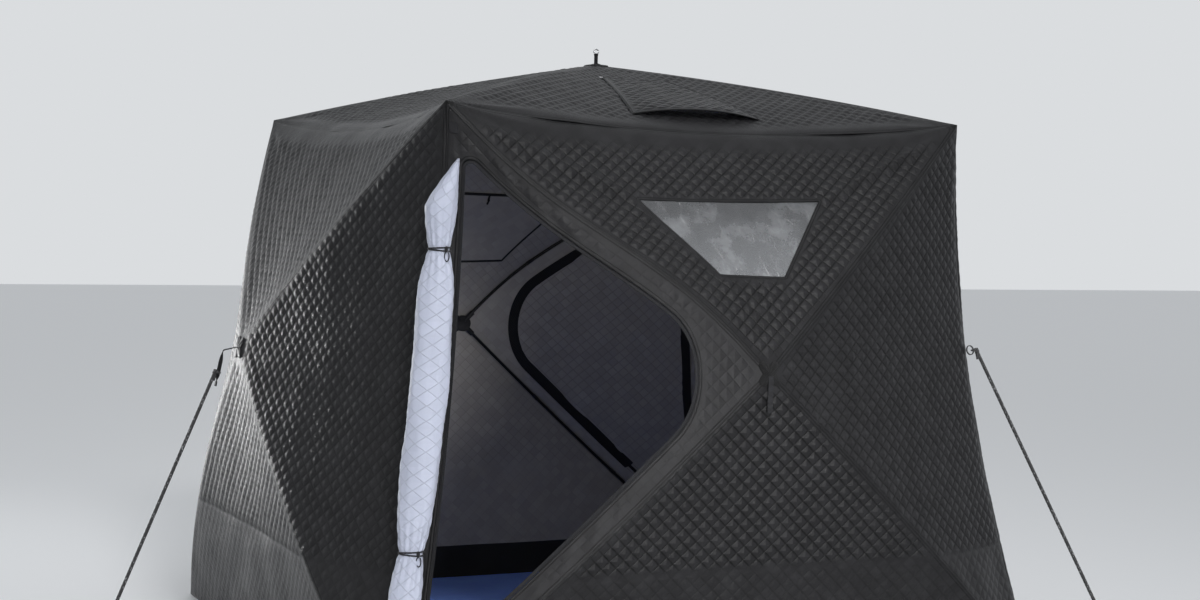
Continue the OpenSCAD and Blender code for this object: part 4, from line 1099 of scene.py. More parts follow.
def floor_mat(materials):
    """Coated floor mat with a rolled hem and shallow creases."""
    half, count = BASE_HALF - CLOTH_T - 0.003, 90
    line = np.linspace(-half, half, count)
    flat = np.stack([side.ravel() for side in np.meshgrid(line, line)], 1)
    x, y = flat.T
    gap = np.minimum(half - np.abs(x), half - np.abs(y))
    crease = 0.0032 * np.clip(lumps(flat, 11, 0.9, 4), -0.6, 2) * smooth(0, 0.12, gap)
    fold = 0.0020 * (bell(x - 0.31 - 0.02 * np.sin(5 * y), 0.012)
                     + bell(y + 0.22 - 0.03 * np.sin(4 * x), 0.012))
    hem = 0.0008 * bell(gap - 0.020, 0.004)
    top = MAT_T + np.maximum(crease, 0) + fold * smooth(0, 0.1, gap) - hem
    points = np.vstack([np.column_stack([flat, high]) for high in (top, 0 * top)])
    cloth = np.tile(np.column_stack([flat, gap]), (2, 1))
    piece = new_piece("floor_mat_cloth", points, np.vstack(slab(count, count)), materials, None,
                      cloth, 50)
    dressed(piece, "floor_mat")
    return piece


# ---------------------------------------------------------------- poles, straps, zips and ropes

def tris_of(quads):
    return np.vstack([quads[:, [0, 1, 2]], quads[:, [0, 2, 3]]])


def outward(points, tris):
    a, b, c = (points[tris[:, k]] for k in range(3))
    return tris if np.einsum("ij,ij->", a, np.cross(b, c)) > 0 else tris[:, ::-1]


def capped(points, n, low, high):
    """Closed solid of rings of n points, with a fan of faces at each end."""
    count = len(points)
    first, last = np.arange(n), count - n + np.arange(n)
    tris = np.vstack([tris_of(grid_faces(count // n, n)),
                      np.stack([np.roll(first, -1), first, np.full(n, count)], 1),
                      np.stack([last, np.roll(last, -1), np.full(n, count + 1)], 1)])
    return np.vstack([points, low, high]), tris


def run_along(route):
    """Distance along a route to each of its points."""
    return np.concatenate([[0], np.cumsum(np.linalg.norm(np.diff(route, axis=0), axis=1))])


def at_stops(route, stops):
    """Points of a route at these distances along it."""
    run = run_along(route)
    return np.stack([np.interp(stops, run, route[:, k]) for k in range(3)], 1)


def ellipse(turn, middle, first, second):
    """Points at these angles of an ellipse with these two half axes."""
    return middle + np.outer(np.cos(turn), first) + np.outer(np.sin(turn), second)


def swept(route, section, up=None, beside=None, closed=False):
    """Closed solid of a section, given as [beside, above], moved along a route."""
    ahead, behind = np.roll(route, -1, 0), np.roll(route, 1, 0)
    along = unit(ahead - behind if closed else np.gradient(route, axis=0))
    if beside is None:
        beside = unit(np.cross(along, up))
    beside = np.broadcast_to(beside, along.shape)
    over = unit(np.cross(beside, along))
    section = np.broadcast_to(section, (len(route), *np.shape(section)[-2:]))
    rows, n = section.shape[:2]
    points = (route[:, None] + section[..., :1] * beside[:, None]
              + section[..., 1:] * over[:, None]).reshape(-1, 3)
    cloth = np.stack([*np.broadcast_arrays(np.arange(n)[None] / n, run_along(route)[:, None],
                                           section[..., 0])], -1).reshape(-1, 3)
    if closed:
        last = np.arange(len(points) - n, len(points))
        seam = np.stack([last, np.roll(last, -1), np.roll(np.arange(n), -1), np.arange(n)], 1)
        tris = np.vstack([tris_of(grid_faces(rows, n)), tris_of(seam)])
    else:
        points, tris = capped(points, n, points[:n].mean(0), points[-n:].mean(0))
        cloth = np.vstack([cloth, cloth[0], cloth[-1]])
    return points, outward(points, tris), cloth


def round_section(radius, sides=16):
    turn = circle(sides)
    return np.stack([radius * np.cos(turn), radius * np.sin(turn)], -1)


def swelling(route, sizes, sides, **way):
    """Round solid along a route, with its radius at each point."""
    radii = np.array(sizes, float)[:, None, None]
    return swept(route, round_section(1.0, sides)[None] * radii, **way)


def flat_section(width, thick):
    """Webbing's section: flat, with rounded selvedges and a thicker weave along them."""
    turn = np.linspace(-np.pi / 2, np.pi / 2, 5)
    end = np.stack([(width - thick) / 2 + thick / 2 * np.cos(turn), thick / 2 * np.sin(turn)], 1)
    top = np.array([[0.36, 0.46], [0.12, 0.42], [-0.12, 0.42], [-0.36, 0.46]]) * [width, thick]
    return np.vstack([end, top, -end, -top])


def joined(name, parts, materials, turns=(0,), material_of_part=None):
    """One piece of several solids, repeated at each turn about the upright axis."""
    points, tris, cloth, kinds, start = [], [], [], [], 0
    for turn in turns:
        for k, (p, t, c) in enumerate(parts):
            points.append(turned(p, turn))
            tris.append(t + start)
            cloth.append(c)
            kinds.append(np.full(len(t), material_of_part[k] if material_of_part else 0))
            start += len(p)
    return new_piece(name, np.vstack(points), np.vstack(tris), materials, np.concatenate(kinds),
                     np.vstack(cloth), 45)


def all_turned(parts, turn):
    return [(turned(p, turn), t, c) for p, t, c in parts]


def stitched(route, up, spacing=0.0042, size=0.0011):
    """Row of raised stitches along a route, as one solid for each stitch."""
    parts = []
    for mark in np.arange(spacing / 2, run_along(route)[-1], spacing):
        line = at_stops(route, mark + np.array([-0.36, 0, 0.36]) * spacing)
        line = line + np.outer([0, 0.0004, 0], up)
        parts.append(swelling(line, np.array([0.5, 1, 0.5]) * size / 2, 5, up=up))
    return parts


def wall_points(flat, depth, sway):
    """Points of the front wall's cloth, from [x, z] and a depth under its outer face."""
    points, done = np.zeros((len(flat), 3)), np.zeros(len(flat), bool)
    depth = np.broadcast_to(depth, len(flat))
    for kind in ("top", "right", "base", "left"):
        facet = Facet(kind, sway)
        place = facet.place(on_chord_plane(facet, flat))
        mine = (place.min(1) > -1e-6) & ~done
        points[mine] = facet.skin(np.maximum(place[mine], 0), depth[mine])
        done |= mine
    return points


def roof_points(flat, depth):
    """Points of the roof's cloth, from [x, y] and a depth under its outer face."""
    facet, points = Facet("roof"), np.zeros((len(flat), 3))
    depth = np.broadcast_to(depth, len(flat))
    quarter = np.round(np.degrees(np.arctan2(flat[:, 0], -flat[:, 1])) / 90).astype(int) % 4
    for q in range(4):
        mine = quarter == q
        spot = turned(np.column_stack([flat[mine], np.zeros(mine.sum())]), -90 * q)[:, :2]
        place = np.maximum(facet.place(on_chord_plane(facet, spot)), 0)
        points[mine] = turned(facet.skin(place, depth[mine]), 90 * q)
    return points


def ball_at(level, s):
    """Middle of the ball that holds the pole tips in a corner."""
    (corner, way, _), clear = corner_at(level, s), CLOTH_T + BALL_R + SEAT
    if level == "top":
        return corner - 1.7 * clear * unit(way)
    return corner - 1.55 * clear * unit(way) + [0, 0, MAT_T + SEAT + BALL_R]


def pole_solids(facet, k, slope):
    """Round rod from inside its hub to inside its corner ball, with two sewn cloth keepers."""
    corner, way = facet.corners[k], facet.dirs[k]
    hub_depth = 1.15 * CLOTH_T + HUB_R * slope + HUB_WALL + POLE_R + 3 * SEAT
    t = np.linspace(POLE_ROOT / np.linalg.norm(corner - facet.hub), 1, 400)
    crease, t = facet.pole(k, t), t[:, None]
    route = (crease - POLE_DEPTH * unit((1 - t) * facet.out + t * way)
             + (1 - t) ** 6 * (POLE_DEPTH - hub_depth) * facet.out
             + t ** 6 * (ball_at(*FACETS[facet.kind][1 + k]) - corner + POLE_DEPTH * unit(way)))
    route = at_stops(route, np.linspace(0, run_along(route)[-1] - POLE_TIP, 90))
    up, long = (0.31, 0.57, 0.76), run_along(route)[-1]
    parts = [swelling(route, np.full(90, POLE_R), 16, up=up)]
    swell = POLE_R + 0.0012 * np.array([0.3, 1, 0.9, 1, 0.9, 1, 0.3])
    for share in (0.30, 0.62):
        line = at_stops(route, long * share + np.linspace(-0.016, 0.016, 7))
        parts.append(swelling(line, swell, 16, up=up))
    return parts


def all_poles(materials):
    """The poles of the walls and the roof."""
    wall_slope = (HUB_OUT - TOP_HALF) / (EAVE_H - HUB_H)
    roof_slope = (APEX_H - EAVE_H + EAVE_DROP) / (TOP_HALF - EAVE_PULL)
    for wall, turn in WALLS:
        parts = sum((pole_solids(Facet(kind, sway_of(turn)), k, wall_slope)
                     for kind in ("top", "base") for k in (0, 1)), [])
        piece = joined(f"{wall}_rods", parts, materials, (turn,), [0, 1, 1] * 4)
        dressed(piece, f"{wall}_poles")
    piece = joined("roof_rods", pole_solids(Facet("roof"), 1, roof_slope), materials,
                   (FRONT, RIGHT, BACK, LEFT), [0, 1, 1])
    dressed(piece, "roof_poles")


def hub_patch(points_at):
    """Patch of four lobes over a hub, pleated towards its rim and sewn down along it."""
    rings, spokes = 18, 72
    r, turn = np.meshgrid(np.linspace(0, 1, rings + 1)[1:], circle(spokes), indexing="ij")
    reach = PATCH_R * r * (0.52 + 0.48 * np.abs(np.sin(2 * turn)) ** 1.6)
    flat = np.stack([(reach * np.sin(turn)).ravel(), (reach * np.cos(turn)).ravel()], 1)
    pleat = np.abs(np.sin(5.5 * turn + 0.6 * np.sin(2 * turn))) - 0.6
    pleat = 0.0016 * pleat * smooth(0.1, 0.5, r) * (1 - smooth(0.9, 1, r))
    sewn = 0.0008 * bell(r - 0.90, 0.03)
    high = (PATCH_T * (1 - 0.75 * smooth(0.93, 1, r)) + pleat - sewn).ravel()
    back = np.arange(rings * spokes).reshape(rings, spokes)[::-1].ravel()
    flat = np.vstack([flat, flat[back], [[0, 0], [0, 0]]])
    high = np.concatenate([high, 0 * high, [PATCH_T, 0]])
    points = points_at(flat, -SEWN_GAP - high)
    points, tris = capped(points[:-2], spokes, points[-2], points[-1])
    cloth = np.column_stack([flat, np.full(len(flat), 0.02)])
    cloth[-2:] = 0.02
    return points, outward(points, tris), cloth


def hanging_strap():
    """Strap sewn over a hub's patch and hanging below it, with its end folded back."""
    share = np.linspace(0, 1, 26)
    z = HUB_H - STRAP_W / 3 - 0.110 * share
    depth = -(2 * SEWN_GAP + PATCH_T + STRAP_T / 2) - 0.0095 * smooth(0.25, 1.2, share)
    route = wall_points(np.column_stack([0.0016 * np.sin(5 * share), z]), depth, 0.0)
    section = flat_section(STRAP_W, STRAP_T)[None].repeat(26, 0)
    section[:, :, 1] *= (1 + 0.8 * smooth(0.83, 0.86, share))[:, None]
    parts, proud = [swept(route, section, up=OUT_FRONT)], [0, -0.44 * STRAP_T, 0]
    lines = [route[1:9] + [x, 0, 0] for x in (-0.006, 0.006)]
    lines += [route[k] + np.outer(np.linspace(-0.006, 0.006, 5), (1, 0, 0)) for k in (1, 8)]
    for line in lines:
        parts += stitched(line + proud, OUT_FRONT)
    return parts


def left_strap():
    """Strap from the left hub that is pulled out and down by its rope."""
    a, b, c = STRAP_ROUTE
    t, bend = np.linspace(0, 1, 40), 0.34
    first, second = t[t < bend], t[t >= bend]
    route = np.vstack([a + np.outer(first / bend, b - a),
                       b + np.outer((second - bend) / (1 - bend), c - b)])
    for _ in range(3):
        route[1:-1] = (route[:-2] + route[1:-1] * 2 + route[2:]) / 4
    section = flat_section(STRAP_W, STRAP_T)[None].repeat(40, 0)
    section[:, :, 1] *= (1 + 0.6 * smooth(0.88, 0.92, t))[:, None]
    twist = np.radians(-58) * smooth(0.28, 0.55, t) * (1 - smooth(0.80, 0.94, t))
    wide, thick = section[:, :, 0], section[:, :, 1]
    cos, sin = np.cos(twist)[:, None], np.sin(twist)[:, None]
    section = np.stack([wide * cos - thick * sin, wide * sin + thick * cos], -1)
    return swept(route, section, beside=(0, 1, 0))


AWAY = unit((1, -1, 0))
ACROSS = np.array([AWAY[1], -AWAY[0], 0])


def corner_loop():
    """Webbing loop sewn into the corner edge for the right rope."""
    turn = circle(48)
    root = edge_of(Facet("right"), LOOP_AT + LOOP_H / 2 * np.sin(turn))
    route = root + np.outer(SEAT + STRAP_T / 2 + LOOP_REACH * (1 + np.cos(turn)) / 2, AWAY)
    return swept(route, flat_section(STRAP_W, STRAP_T), beside=ACROSS, closed=True)


def braided(route, radius, up, closed=False):
    """Braided cord along a route, with its crossing strands in relief."""
    s, t = np.meshgrid(run_along(route), circle(24), indexing="ij")
    strand = np.maximum(np.cos(4 * (t + s / BRAID_PITCH)), np.cos(4 * (t - s / BRAID_PITCH)))
    r = np.reshape(radius, (-1, 1)) * (0.945 + 0.055 * strand)
    section = np.stack([r * np.cos(t), r * np.sin(t)], -1)
    points, tris, cloth = swept(route, section, up=up, closed=closed)
    return points, tris, cloth * [8, 1 / 0.0066, 0]


def lashing(middle, first, second):
    """Turn of rope round a strap, as an ellipse with these two half axes."""
    return braided(ellipse(circle(60), middle, first, second), ROPE_R * 0.55,
                   unit(np.cross(first, second)), closed=True)


def guy_rope(knot, ring):
    """Taut rope with a knot at the top and a spliced eye round the ring of its anchor."""
    d = unit(knot - np.array(ring))
    level = unit(np.cross([0, 0, 1], d))
    up = np.cross(level, d)
    eye = ring + d * (RING_R + ROPE_EYE_R - ROPE_R - RING_WIRE - SEAT)
    foot = eye + d * ROPE_EYE_R
    span = np.linalg.norm(knot - foot)
    along = np.linspace(0, span, round(span / ROPE_STEP))
    parts = [braided(foot + np.outer(along, d), ROPE_R, up)]
    along = np.linspace(0, SPLICE_H, 92)
    wraps = 1 + 0.2 * smooth(0, 0.004, along) * smooth(SPLICE_H, SPLICE_H - 0.004, along)
    wraps = wraps * (1 + 0.04 * np.cos(2 * np.pi * along / 0.0026))
    parts.append(swelling(foot + np.outer(along, d), ROPE_R * wraps, 24, up=up))
    turn = ellipse(circle(72), eye, ROPE_EYE_R * d, ROPE_EYE_R * level)
    parts.append(braided(turn, ROPE_R * 0.92, up, closed=True))
    turn = np.linspace(0, 6 * np.pi, 120)
    wind = (KNOT_R * (0.50 + 0.12 * np.cos(turn * 0.5)))[:, None]
    coil = (knot + np.outer(np.linspace(-0.7, 0.7, 120) * KNOT_R, d)
            + wind * ellipse(turn, 0, up, level))
    parts.append(braided(coil, ROPE_R * 0.62, d))
    tail = knot + np.outer(np.linspace(0, 0.030, 16), unit(-0.35 * d - [0, 0, 0.9] + 0.25 * level))
    return parts + [braided(tail, ROPE_R * np.linspace(0.9, 0.7, 16), level)]


def both_ropes():
    """The left rope on the left hub's strap and the right one on the corner's loop."""
    pull = STRAP_ROUTE[2] - STRAP_ROUTE[1]
    out = unit(pull)[[2, 1, 0]] * [1, 0, -1]
    strap = STRAP_ROUTE[1] + 0.62 * pull
    loop = edge_of(Facet("right"), np.array([LOOP_AT]))[0]
    wide = STRAP_W / 2 + 0.6 * ROPE_R
    parts = guy_rope(strap + (STRAP_T / 2 + SEAT + KNOT_R) * out, LEFT_RING)
    parts += guy_rope(loop + (LOOP_REACH + STRAP_T + 2 * SEAT + KNOT_R) * AWAY, RIGHT_RING)
    parts.append(lashing(strap, wide * np.array([0, 1, 0]), 0.9 * ROPE_R * out))
    parts.append(lashing(loop + (LOOP_REACH + STRAP_T / 2 + SEAT) * AWAY, wide * ACROSS,
                         0.9 * ROPE_R * AWAY))
    return parts


def zip_tape(facet, outline, depth, width, coil_at):
    """Zip tape along an outline, with its coil in relief at a share of the way inwards."""
    route, up = outline_route(facet, resampled(outline, ZIP_STEP), depth)
    along = np.roll(route, -1, 0) - np.roll(route, 1, 0)
    inner = np.sign(np.einsum("ij,ij->", np.cross(along, up), route.mean(0) - route))
    share = np.clip(coil_at + np.array([-9, -0.19, -0.12, 0, 0.12, 0.19, 9]), -0.5, 0.5)
    high = np.array([0.55, 0.6, 1.25, 1.5, 1.25, 0.6, 0.55]) / 1000
    tooth = 0.82 + 0.18 * (-1) ** np.arange(len(route))
    high = np.where(high > 0.001, high * tooth[:, None], high)
    share = np.broadcast_to(share, high.shape)
    section = np.stack([np.hstack([share, share[:, ::-1]]) * width * inner,
                        np.hstack([high, -high[:, ::-1]])], -1)
    return swept(route, section, up=up, closed=True)


def pull_tab(at, down, out):
    """Zip slider with its pull."""
    body = at + np.outer(np.linspace(-0.008, 0.008, 7), down)
    swell = np.array([0.6, 0.9, 1, 1, 1, 0.9, 0.6])[:, None, None]
    slider = swept(body, round_section(1.0, 12)[None] * swell * [0.006, 0.0042], up=out)
    pull = at + np.outer(np.linspace(0.006, 0.044, 12), down) + 0.0048 * out
    return [slider, swept(pull, flat_section(0.009, 0.003), up=out)]


def taped(facet, outline, depth, section, **way):
    """Solid of a section along an outline on a facet."""
    route, up = outline_route(facet, outline, depth)
    return swept(route, section, up=up, **way)


def door_zips():
    """Open zip of the front door, and the closed one of the back door with its inner flap."""
    facet = Facet("left", DOOR_SWAY)
    parts, shut = ([zip_tape(facet, door_outline(ZIP_INSET), ZIP_DEPTH, ZIP_W, coil_at)]
                   for coil_at in (0.33, 0.0))
    shut.append(taped(facet, door_outline(0.0055), 0.008, flat_section(0.042, 0.002), closed=True))
    place = facet.place(on_chord_plane(facet, [[-0.925, 0.30], [-0.93, 0.38]]))
    at = facet.skin(place, 0.0125)
    shut += pull_tab(at[0], unit(at[0] - at[1]), facet.inwards(place)[0])
    return parts + all_turned(shut, BACK)


def cord_ring(h, radius, tilt, phase):
    """Turn of elastic cord round the rolled door."""
    turn = circle(96)
    middle, out, along, half, wide = roll_frame(h + tilt * np.sin(turn + phase))
    route = (middle + ((0.95 * half + radius) * np.cos(turn))[:, None] * out
             + ((0.95 * wide + radius) * np.sin(turn))[:, None] * along)
    return swept(route, round_section(radius, 12), up=(0, 0, 1), closed=True)


def roll_tie(h):
    """Two turns of cord round the roll, drawn through a toggle with its tail on the door's side."""
    parts = [cord_ring(h + 0.0032, 0.0022, 0.0022, 0.4), cord_ring(h - 0.0032, 0.0022, 0.0026, 3.2)]
    middle, out, along, half, wide = (v[0] for v in roll_frame(np.array([h])))
    at = middle + 0.78 * (half + 0.004) * out + 0.66 * (wide + 0.004) * along
    face = unit(0.78 * out + 0.5 * along)
    line = at + np.outer(np.linspace(-0.009, 0.009, 9), (0, 0, 1))
    swell = np.array([0.55, 0.85, 1, 0.95, 0.9, 0.95, 1, 0.85, 0.55])
    parts.append(swelling(line, 0.0048 * swell, 14, up=face))
    turn = np.linspace(0.15 * np.pi, 1.85 * np.pi, 40)
    loop = ellipse(turn, at + 0.003 * face - [0, 0, 0.021], (0, 0, 0.014),
                   0.007 * along * [1, 1, 0])
    return parts + [swept(loop, round_section(0.0017, 8), up=face)]


def corner_tab(facet):
    """Webbing tab sewn below a top corner, with a box of stitches."""
    route, up = outline_route(facet, rounded(TAB_BOX, [0.002] * 4, 0.0015), -0.00225)
    middle, out, half = route.mean(0), up.mean(0), STRAP_T / 2
    deep = [0.999, 1, 0.97, 0.9, 0.8, 0.6, 0.4, 0.2]
    high = [-1, 0.55, 1, 1.05, 0.85, 1.0, 1.05, 1.0]
    rings = [middle + (route - middle) * d + half * h * out for d, h in zip(deep, high)]
    points, tris = capped(np.vstack(rings), len(route), middle - half * out, middle + half * out)
    parts = [(points, outward(points - middle, tris), np.zeros(points.shape) + 0.02)]
    line = middle + (np.vstack([route, route[:1]]) - middle) * 0.82 + 0.0011 * out
    return parts + stitched(line, out, 0.0045)


def roof_loop(materials):
    """Webbing folded round a ring on top of the roof hub."""
    low, high, ring, reach, wire = APEX_H + 0.0045, APEX_H + 0.033, APEX_H + 0.046, 0.009, 0.0022
    turn = np.linspace(1.30 * np.pi, -0.30 * np.pi, 24)
    side = np.column_stack([np.full(14, 0.0008), np.linspace(low, high - 0.004, 14)])
    bend = wire + 0.0011
    arc = np.stack([bend * np.cos(turn), ring - reach + bend * np.sin(turn)], 1)
    line = np.vstack([side * [-1, 1], arc, side[::-1]])
    route = np.column_stack([np.zeros(len(line)), line])
    hoop = ellipse(circle(64), (0, 0, ring), (reach, 0, 0), (0, 0, reach))
    parts = [swept(route, flat_section(0.014, 0.0014), beside=(1, 0, 0), closed=True),
             swept(hoop, round_section(wire, 14), up=(0, 1, 0), closed=True)]
    for z in (low + 0.010, low + 0.019):
        for y in (-1, 1):
            line = np.linspace([-0.0055, y * 0.0014, z], [0.0055, y * 0.0014, z], 7)
            parts += stitched(line, (0, y, 0), 0.0028, 0.0009)
    foot = roof_points(np.linspace([-0.013, 0], [0.013, 0], 9), -0.0046)
    parts.append(swept(foot, flat_section(0.022, 0.0018), beside=(0, 1, 0)))
    piece = joined("roof_loop_sewn", parts, materials, (0,), [0, 1] + [0] * (len(parts) - 2))
    return dressed(piece, "roof_loop")


def cover_trim(facet):
    """Binding round the blackout cover, with the toggle and the strap that hold it."""
    swell = np.array([0.5, 0.85, 1, 0.95, 0.85, 0.8, 0.85, 0.95, 1, 0.85, 0.5])[:, None, None]
    strap = np.linspace([0, 1.617], [0, 1.591], 9)
    toggle = np.linspace([-0.001, 1.5995], [0.003, 1.5755], 11)
    return [taped(facet, window_outline(0.0285), 0.0086, flat_section(0.013, 0.0034), closed=True),
            taped(facet, strap, 0.0114, flat_section(0.009, 0.0018)),
            taped(facet, toggle, 0.0164, round_section(0.0042, 16)[None] * swell)]


def hood_trim(facet):
    """Piping down both sides of the vent hood, the seam across its top and a bar tack."""
    top, lip = HOOD_TOP_HALF + 0.0016, HOOD_LIP_HALF + 0.0016
    parts = [taped(facet, np.linspace([s * top, -HOOD_TOP], [s * lip, -HOOD_LIP], 60), -0.0034,
                   round_section(0.0026, 10)) for s in (-1, 1)]
    across = np.linspace([-0.085, -HOOD_TOP - 0.012], [0.085, -HOOD_TOP - 0.012], 30)
    parts.append(taped(facet, across, -HOOD_SEAT - HOOD_T - 0.0006, flat_section(0.004, 0.0016)))
    tack = []
    for k in range(7):
        spot = np.array([-HOOD_TOP_HALF - 0.013 + 0.0018 * k, -HOOD_TOP])
        line = spot + [[0, 0.001], [0.0006, -0.0025], [0, -0.006]]
        tack.append(taped(facet, line, -0.0052, round_section(0.0011, 6)))
    return parts, tack


# ---------------------------------------------------------------- the add-on

def length(label, about, default):
    return bpy.props.FloatProperty(name=label, description=about, default=default,
                                   unit="LENGTH", precision=4)


def power(label, about, default):
    return bpy.props.FloatProperty(name=label, description=about, default=default, unit="POWER")


def colour(label, about, default):
    return bpy.props.FloatVectorProperty(name=label, description=about, default=default,
                                         subtype="COLOR", size=3, min=0, max=1)


class HutSizes(bpy.types.PropertyGroup):
    quilt_width: length("Quilt width", "Width of a quilted diamond", 0.048)
    quilt_height: length("Quilt height", "Height of a quilted diamond", 0.044)
    quilt_cuts: bpy.props.IntProperty(name="Quilt cuts", description="Steps across a diamond",
                                      default=3, min=1, max=5)


class HutColours(bpy.types.PropertyGroup):
    fabric: colour("Outer cloth", "Quilted outer cloth", (0.0078, 0.0076, 0.0083))
    lining: colour("Lining", "Inner face of the walls and the roof", (0.31, 0.292, 0.275))
    roll: colour("Door lining", "Inner face of the door, seen on its roll", (0.385, 0.41, 0.50))
    trim: colour("Trim", "Webbing, binding and zips", (0.010, 0.010, 0.0115))
    film: colour("Film", "Clear film of the windows", (0.075, 0.077, 0.081))
    hub: colour("Hubs", "Moulded hubs and corner sockets", (0.016, 0.016, 0.018))
    pole: colour("Poles", "Fibreglass poles", (0.004, 0.004, 0.005))
    mat: colour("Mat", "Coated floor mat", (0.20, 0.35, 0.95))
    rope: colour("Rope", "Guy ropes", (0.012, 0.012, 0.013))
    anchor: colour("Anchors", "Plated ice anchors", (0.45, 0.46, 0.48))


class HutLight(bpy.types.PropertyGroup):
    sky: bpy.props.FloatProperty(name="Sky", description="Strength of the even light", default=0.46)
    high: power("High", "Power of the lamp high in front", 44.0)
    front: power("Front", "Power of the low lamp in front", 9.0)
    rim: power("Rim", "Power of the lamp behind on the left", 4.0)
    low: power("Low", "Power of the low lamp behind on the left", 9.0)
    room: power("Room", "Power of the lamp inside the hut", 2.0)


# Each lamp's name, place, aim, size and spread
LAMPS = (("high", (-1.4, -6.6, 6.0), (0.0, -1.1, 0.9), 1.6, 60),
         ("front", (-0.9, -8.0, 1.1), (-0.1, -1.2, 0.7), 2.0, 28),
         ("rim", (-4.4, 8.4, 3.0), (-1.25, -0.1, 0.9), 1.6, 50),
         ("low", (-4.0, 8.0, 0.7), (-1.2, 0, 0.9), 1.2, 32),
         ("room", (-0.3, -0.7, 1.5), (0.0, 0.9, 0.7), 0.6, 160))
# How bright the sky looks where the camera, a film or a reflection shows it
SKY_SEEN = 0.74
# The photograph's camera: its place, turns in degrees and lens
CAMERA_AT, CAMERA_LENS = (-2.9993, -6.4090, 1.5171), 59.211
CAMERA_TURNS = (-25.358, -2.523, 1.343)


class HutStage(bpy.types.Operator):
    """Adds the floor, the light and the camera"""
    bl_idname = "hut.stage"
    bl_label = "Stage"

    def execute(self, context):
        scene, light = context.scene, context.scene.hut_light
        scene.view_settings.view_transform = "Standard"
        material = bpy.data.materials.new("floor")
        material.use_nodes = True
        shader = material.node_tree.nodes["Principled BSDF"]
        shader.inputs["Base Color"].default_value = (0.86, 0.87, 0.885, 1)
        shader.inputs["Roughness"].default_value = 0.9
        corners = [[x, y, -0.0005] for x, y in ((-30, -30), (30, -30), (30, 30), (-30, 30))]
        new_piece("floor", corners, np.array([[0, 1, 2, 3]]), [material])

        world = bpy.data.worlds.new("sky")
        world.use_nodes = True
        g = Graph(world.node_tree)
        path = g.add("LightPath")
        seen = g.math("MAXIMUM", path.outputs["Is Camera Ray"], path.outputs["Is Transmission Ray"])
        seen = g.math("MAXIMUM", seen, path.outputs["Is Glossy Ray"])
        level = g.split(g.add("TexCoord").outputs["Generated"])[2]
        even = g.math("MULTIPLY", g.ramp(level, 0.0, 1.0, 0.35, 1.65), light.sky)
        strength = g.math("MULTIPLY_ADD", seen, g.math("SUBTRACT", SKY_SEEN, even), even)
        background = g.add("Background", {"Color": (0.95, 0.975, 1.0, 1), "Strength": strength})
        g.add("OutputWorld", {0: background.outputs[0]})
        scene.world = world

        for name, at, aim, size, spread in LAMPS:
            lamp = bpy.data.lights.new(name, "AREA")
            lamp.shape, lamp.size, lamp.spread = "DISK", size, math.radians(spread)
            lamp.energy = getattr(light, name)
            holder = bpy.data.objects.new(name, lamp)
            way = (Vector(aim) - Vector(at)).to_track_quat("-Z", "Y")
            holder.matrix_world = Matrix.LocRotScale(Vector(at), way, None)
            holder.visible_camera = False
            scene.collection.objects.link(holder)

        yaw, pitch, roll = (math.radians(d) for d in CAMERA_TURNS)
        camera = bpy.data.cameras.new("camera")
        camera.sensor_width, camera.lens, camera.clip_end = 36.0, CAMERA_LENS, 200
        holder = bpy.data.objects.new("camera", camera)
        holder.matrix_world = (Matrix.Translation(CAMERA_AT) @ Matrix.Rotation(yaw, 4, "Z")
                               @ Matrix.Rotation(math.pi / 2 + pitch, 4, "X")
                               @ Matrix.Rotation(roll, 4, "Z"))
        scene.collection.objects.link(holder)
        scene.camera = holder
        return {"FINISHED"}


class Builder:
    """Runs an operator's build step with the hut's finishes."""

    def execute(self, context):
        self.build(Finishes(context))
        return {"FINISHED"}


class HutWalls(Builder, bpy.types.Operator):
    """Dresses the sixteen wall panels in quilted cloth"""
    bl_idname = "hut.walls"
    bl_label = "Walls"

    def build(self, finish):
        cloths = finish("outer_cloth", "inner_cloth")
        openings = {"top": {"opening": window_outline(0), "side": "window"},
                    "left": {"opening": door_outline(0), "side": "door"}}
        for k, (wall, turn) in enumerate(WALLS):
            after, before = WALLS[(k + 1) % 4][0], WALLS[k - 1][0]
            panels = (("top", "top"), (after, "right"), ("base", "base"), (before, "left"))
            for j, (label, kind) in enumerate(panels):
                opening = openings.get(kind, {}) if sway_of(turn) else {}
                cloth_panel(f"{wall}_{label}_panel", kind, turn, cloths, finish.lattice,
                            RNG_SEED + 40 * k + 10 * j, **opening)


class HutRoof(Builder, bpy.types.Operator):
    """Dresses the four roof panels and the vent hood"""
    bl_idname = "hut.roof"
    bl_label = "Roof"

    def build(self, finish):
        cloths = finish("outer_cloth", "inner_cloth")
        for k, (wall, turn) in enumerate(WALLS):
            opening = vent_outline(0) if turn == FRONT else None
            cloth_panel(f"roof_{wall}_panel", "roof", turn, cloths, finish.lattice,
                        RNG_SEED + 300 + 9 * k, opening=opening)
        vent_hood(cloths, finish.lattice)
        facet = Facet("roof")
        screen, _ = facet_patch("vent_screen", facet, vent_outline(-SEAT), FILM_DEPTH, FILM_T,
                                FRONT, finish("mesh_screen"), 0.012)
        dressed(screen, "roof_vent_hood")
        edging, tack = hood_trim(facet)
        trim = joined("vent_hood_piping", edging + tack, finish("black_webbing", "thread"),
                      material_of_part=[0] * len(edging) + [1] * len(tack))
        dressed(trim, "roof_vent_hood")


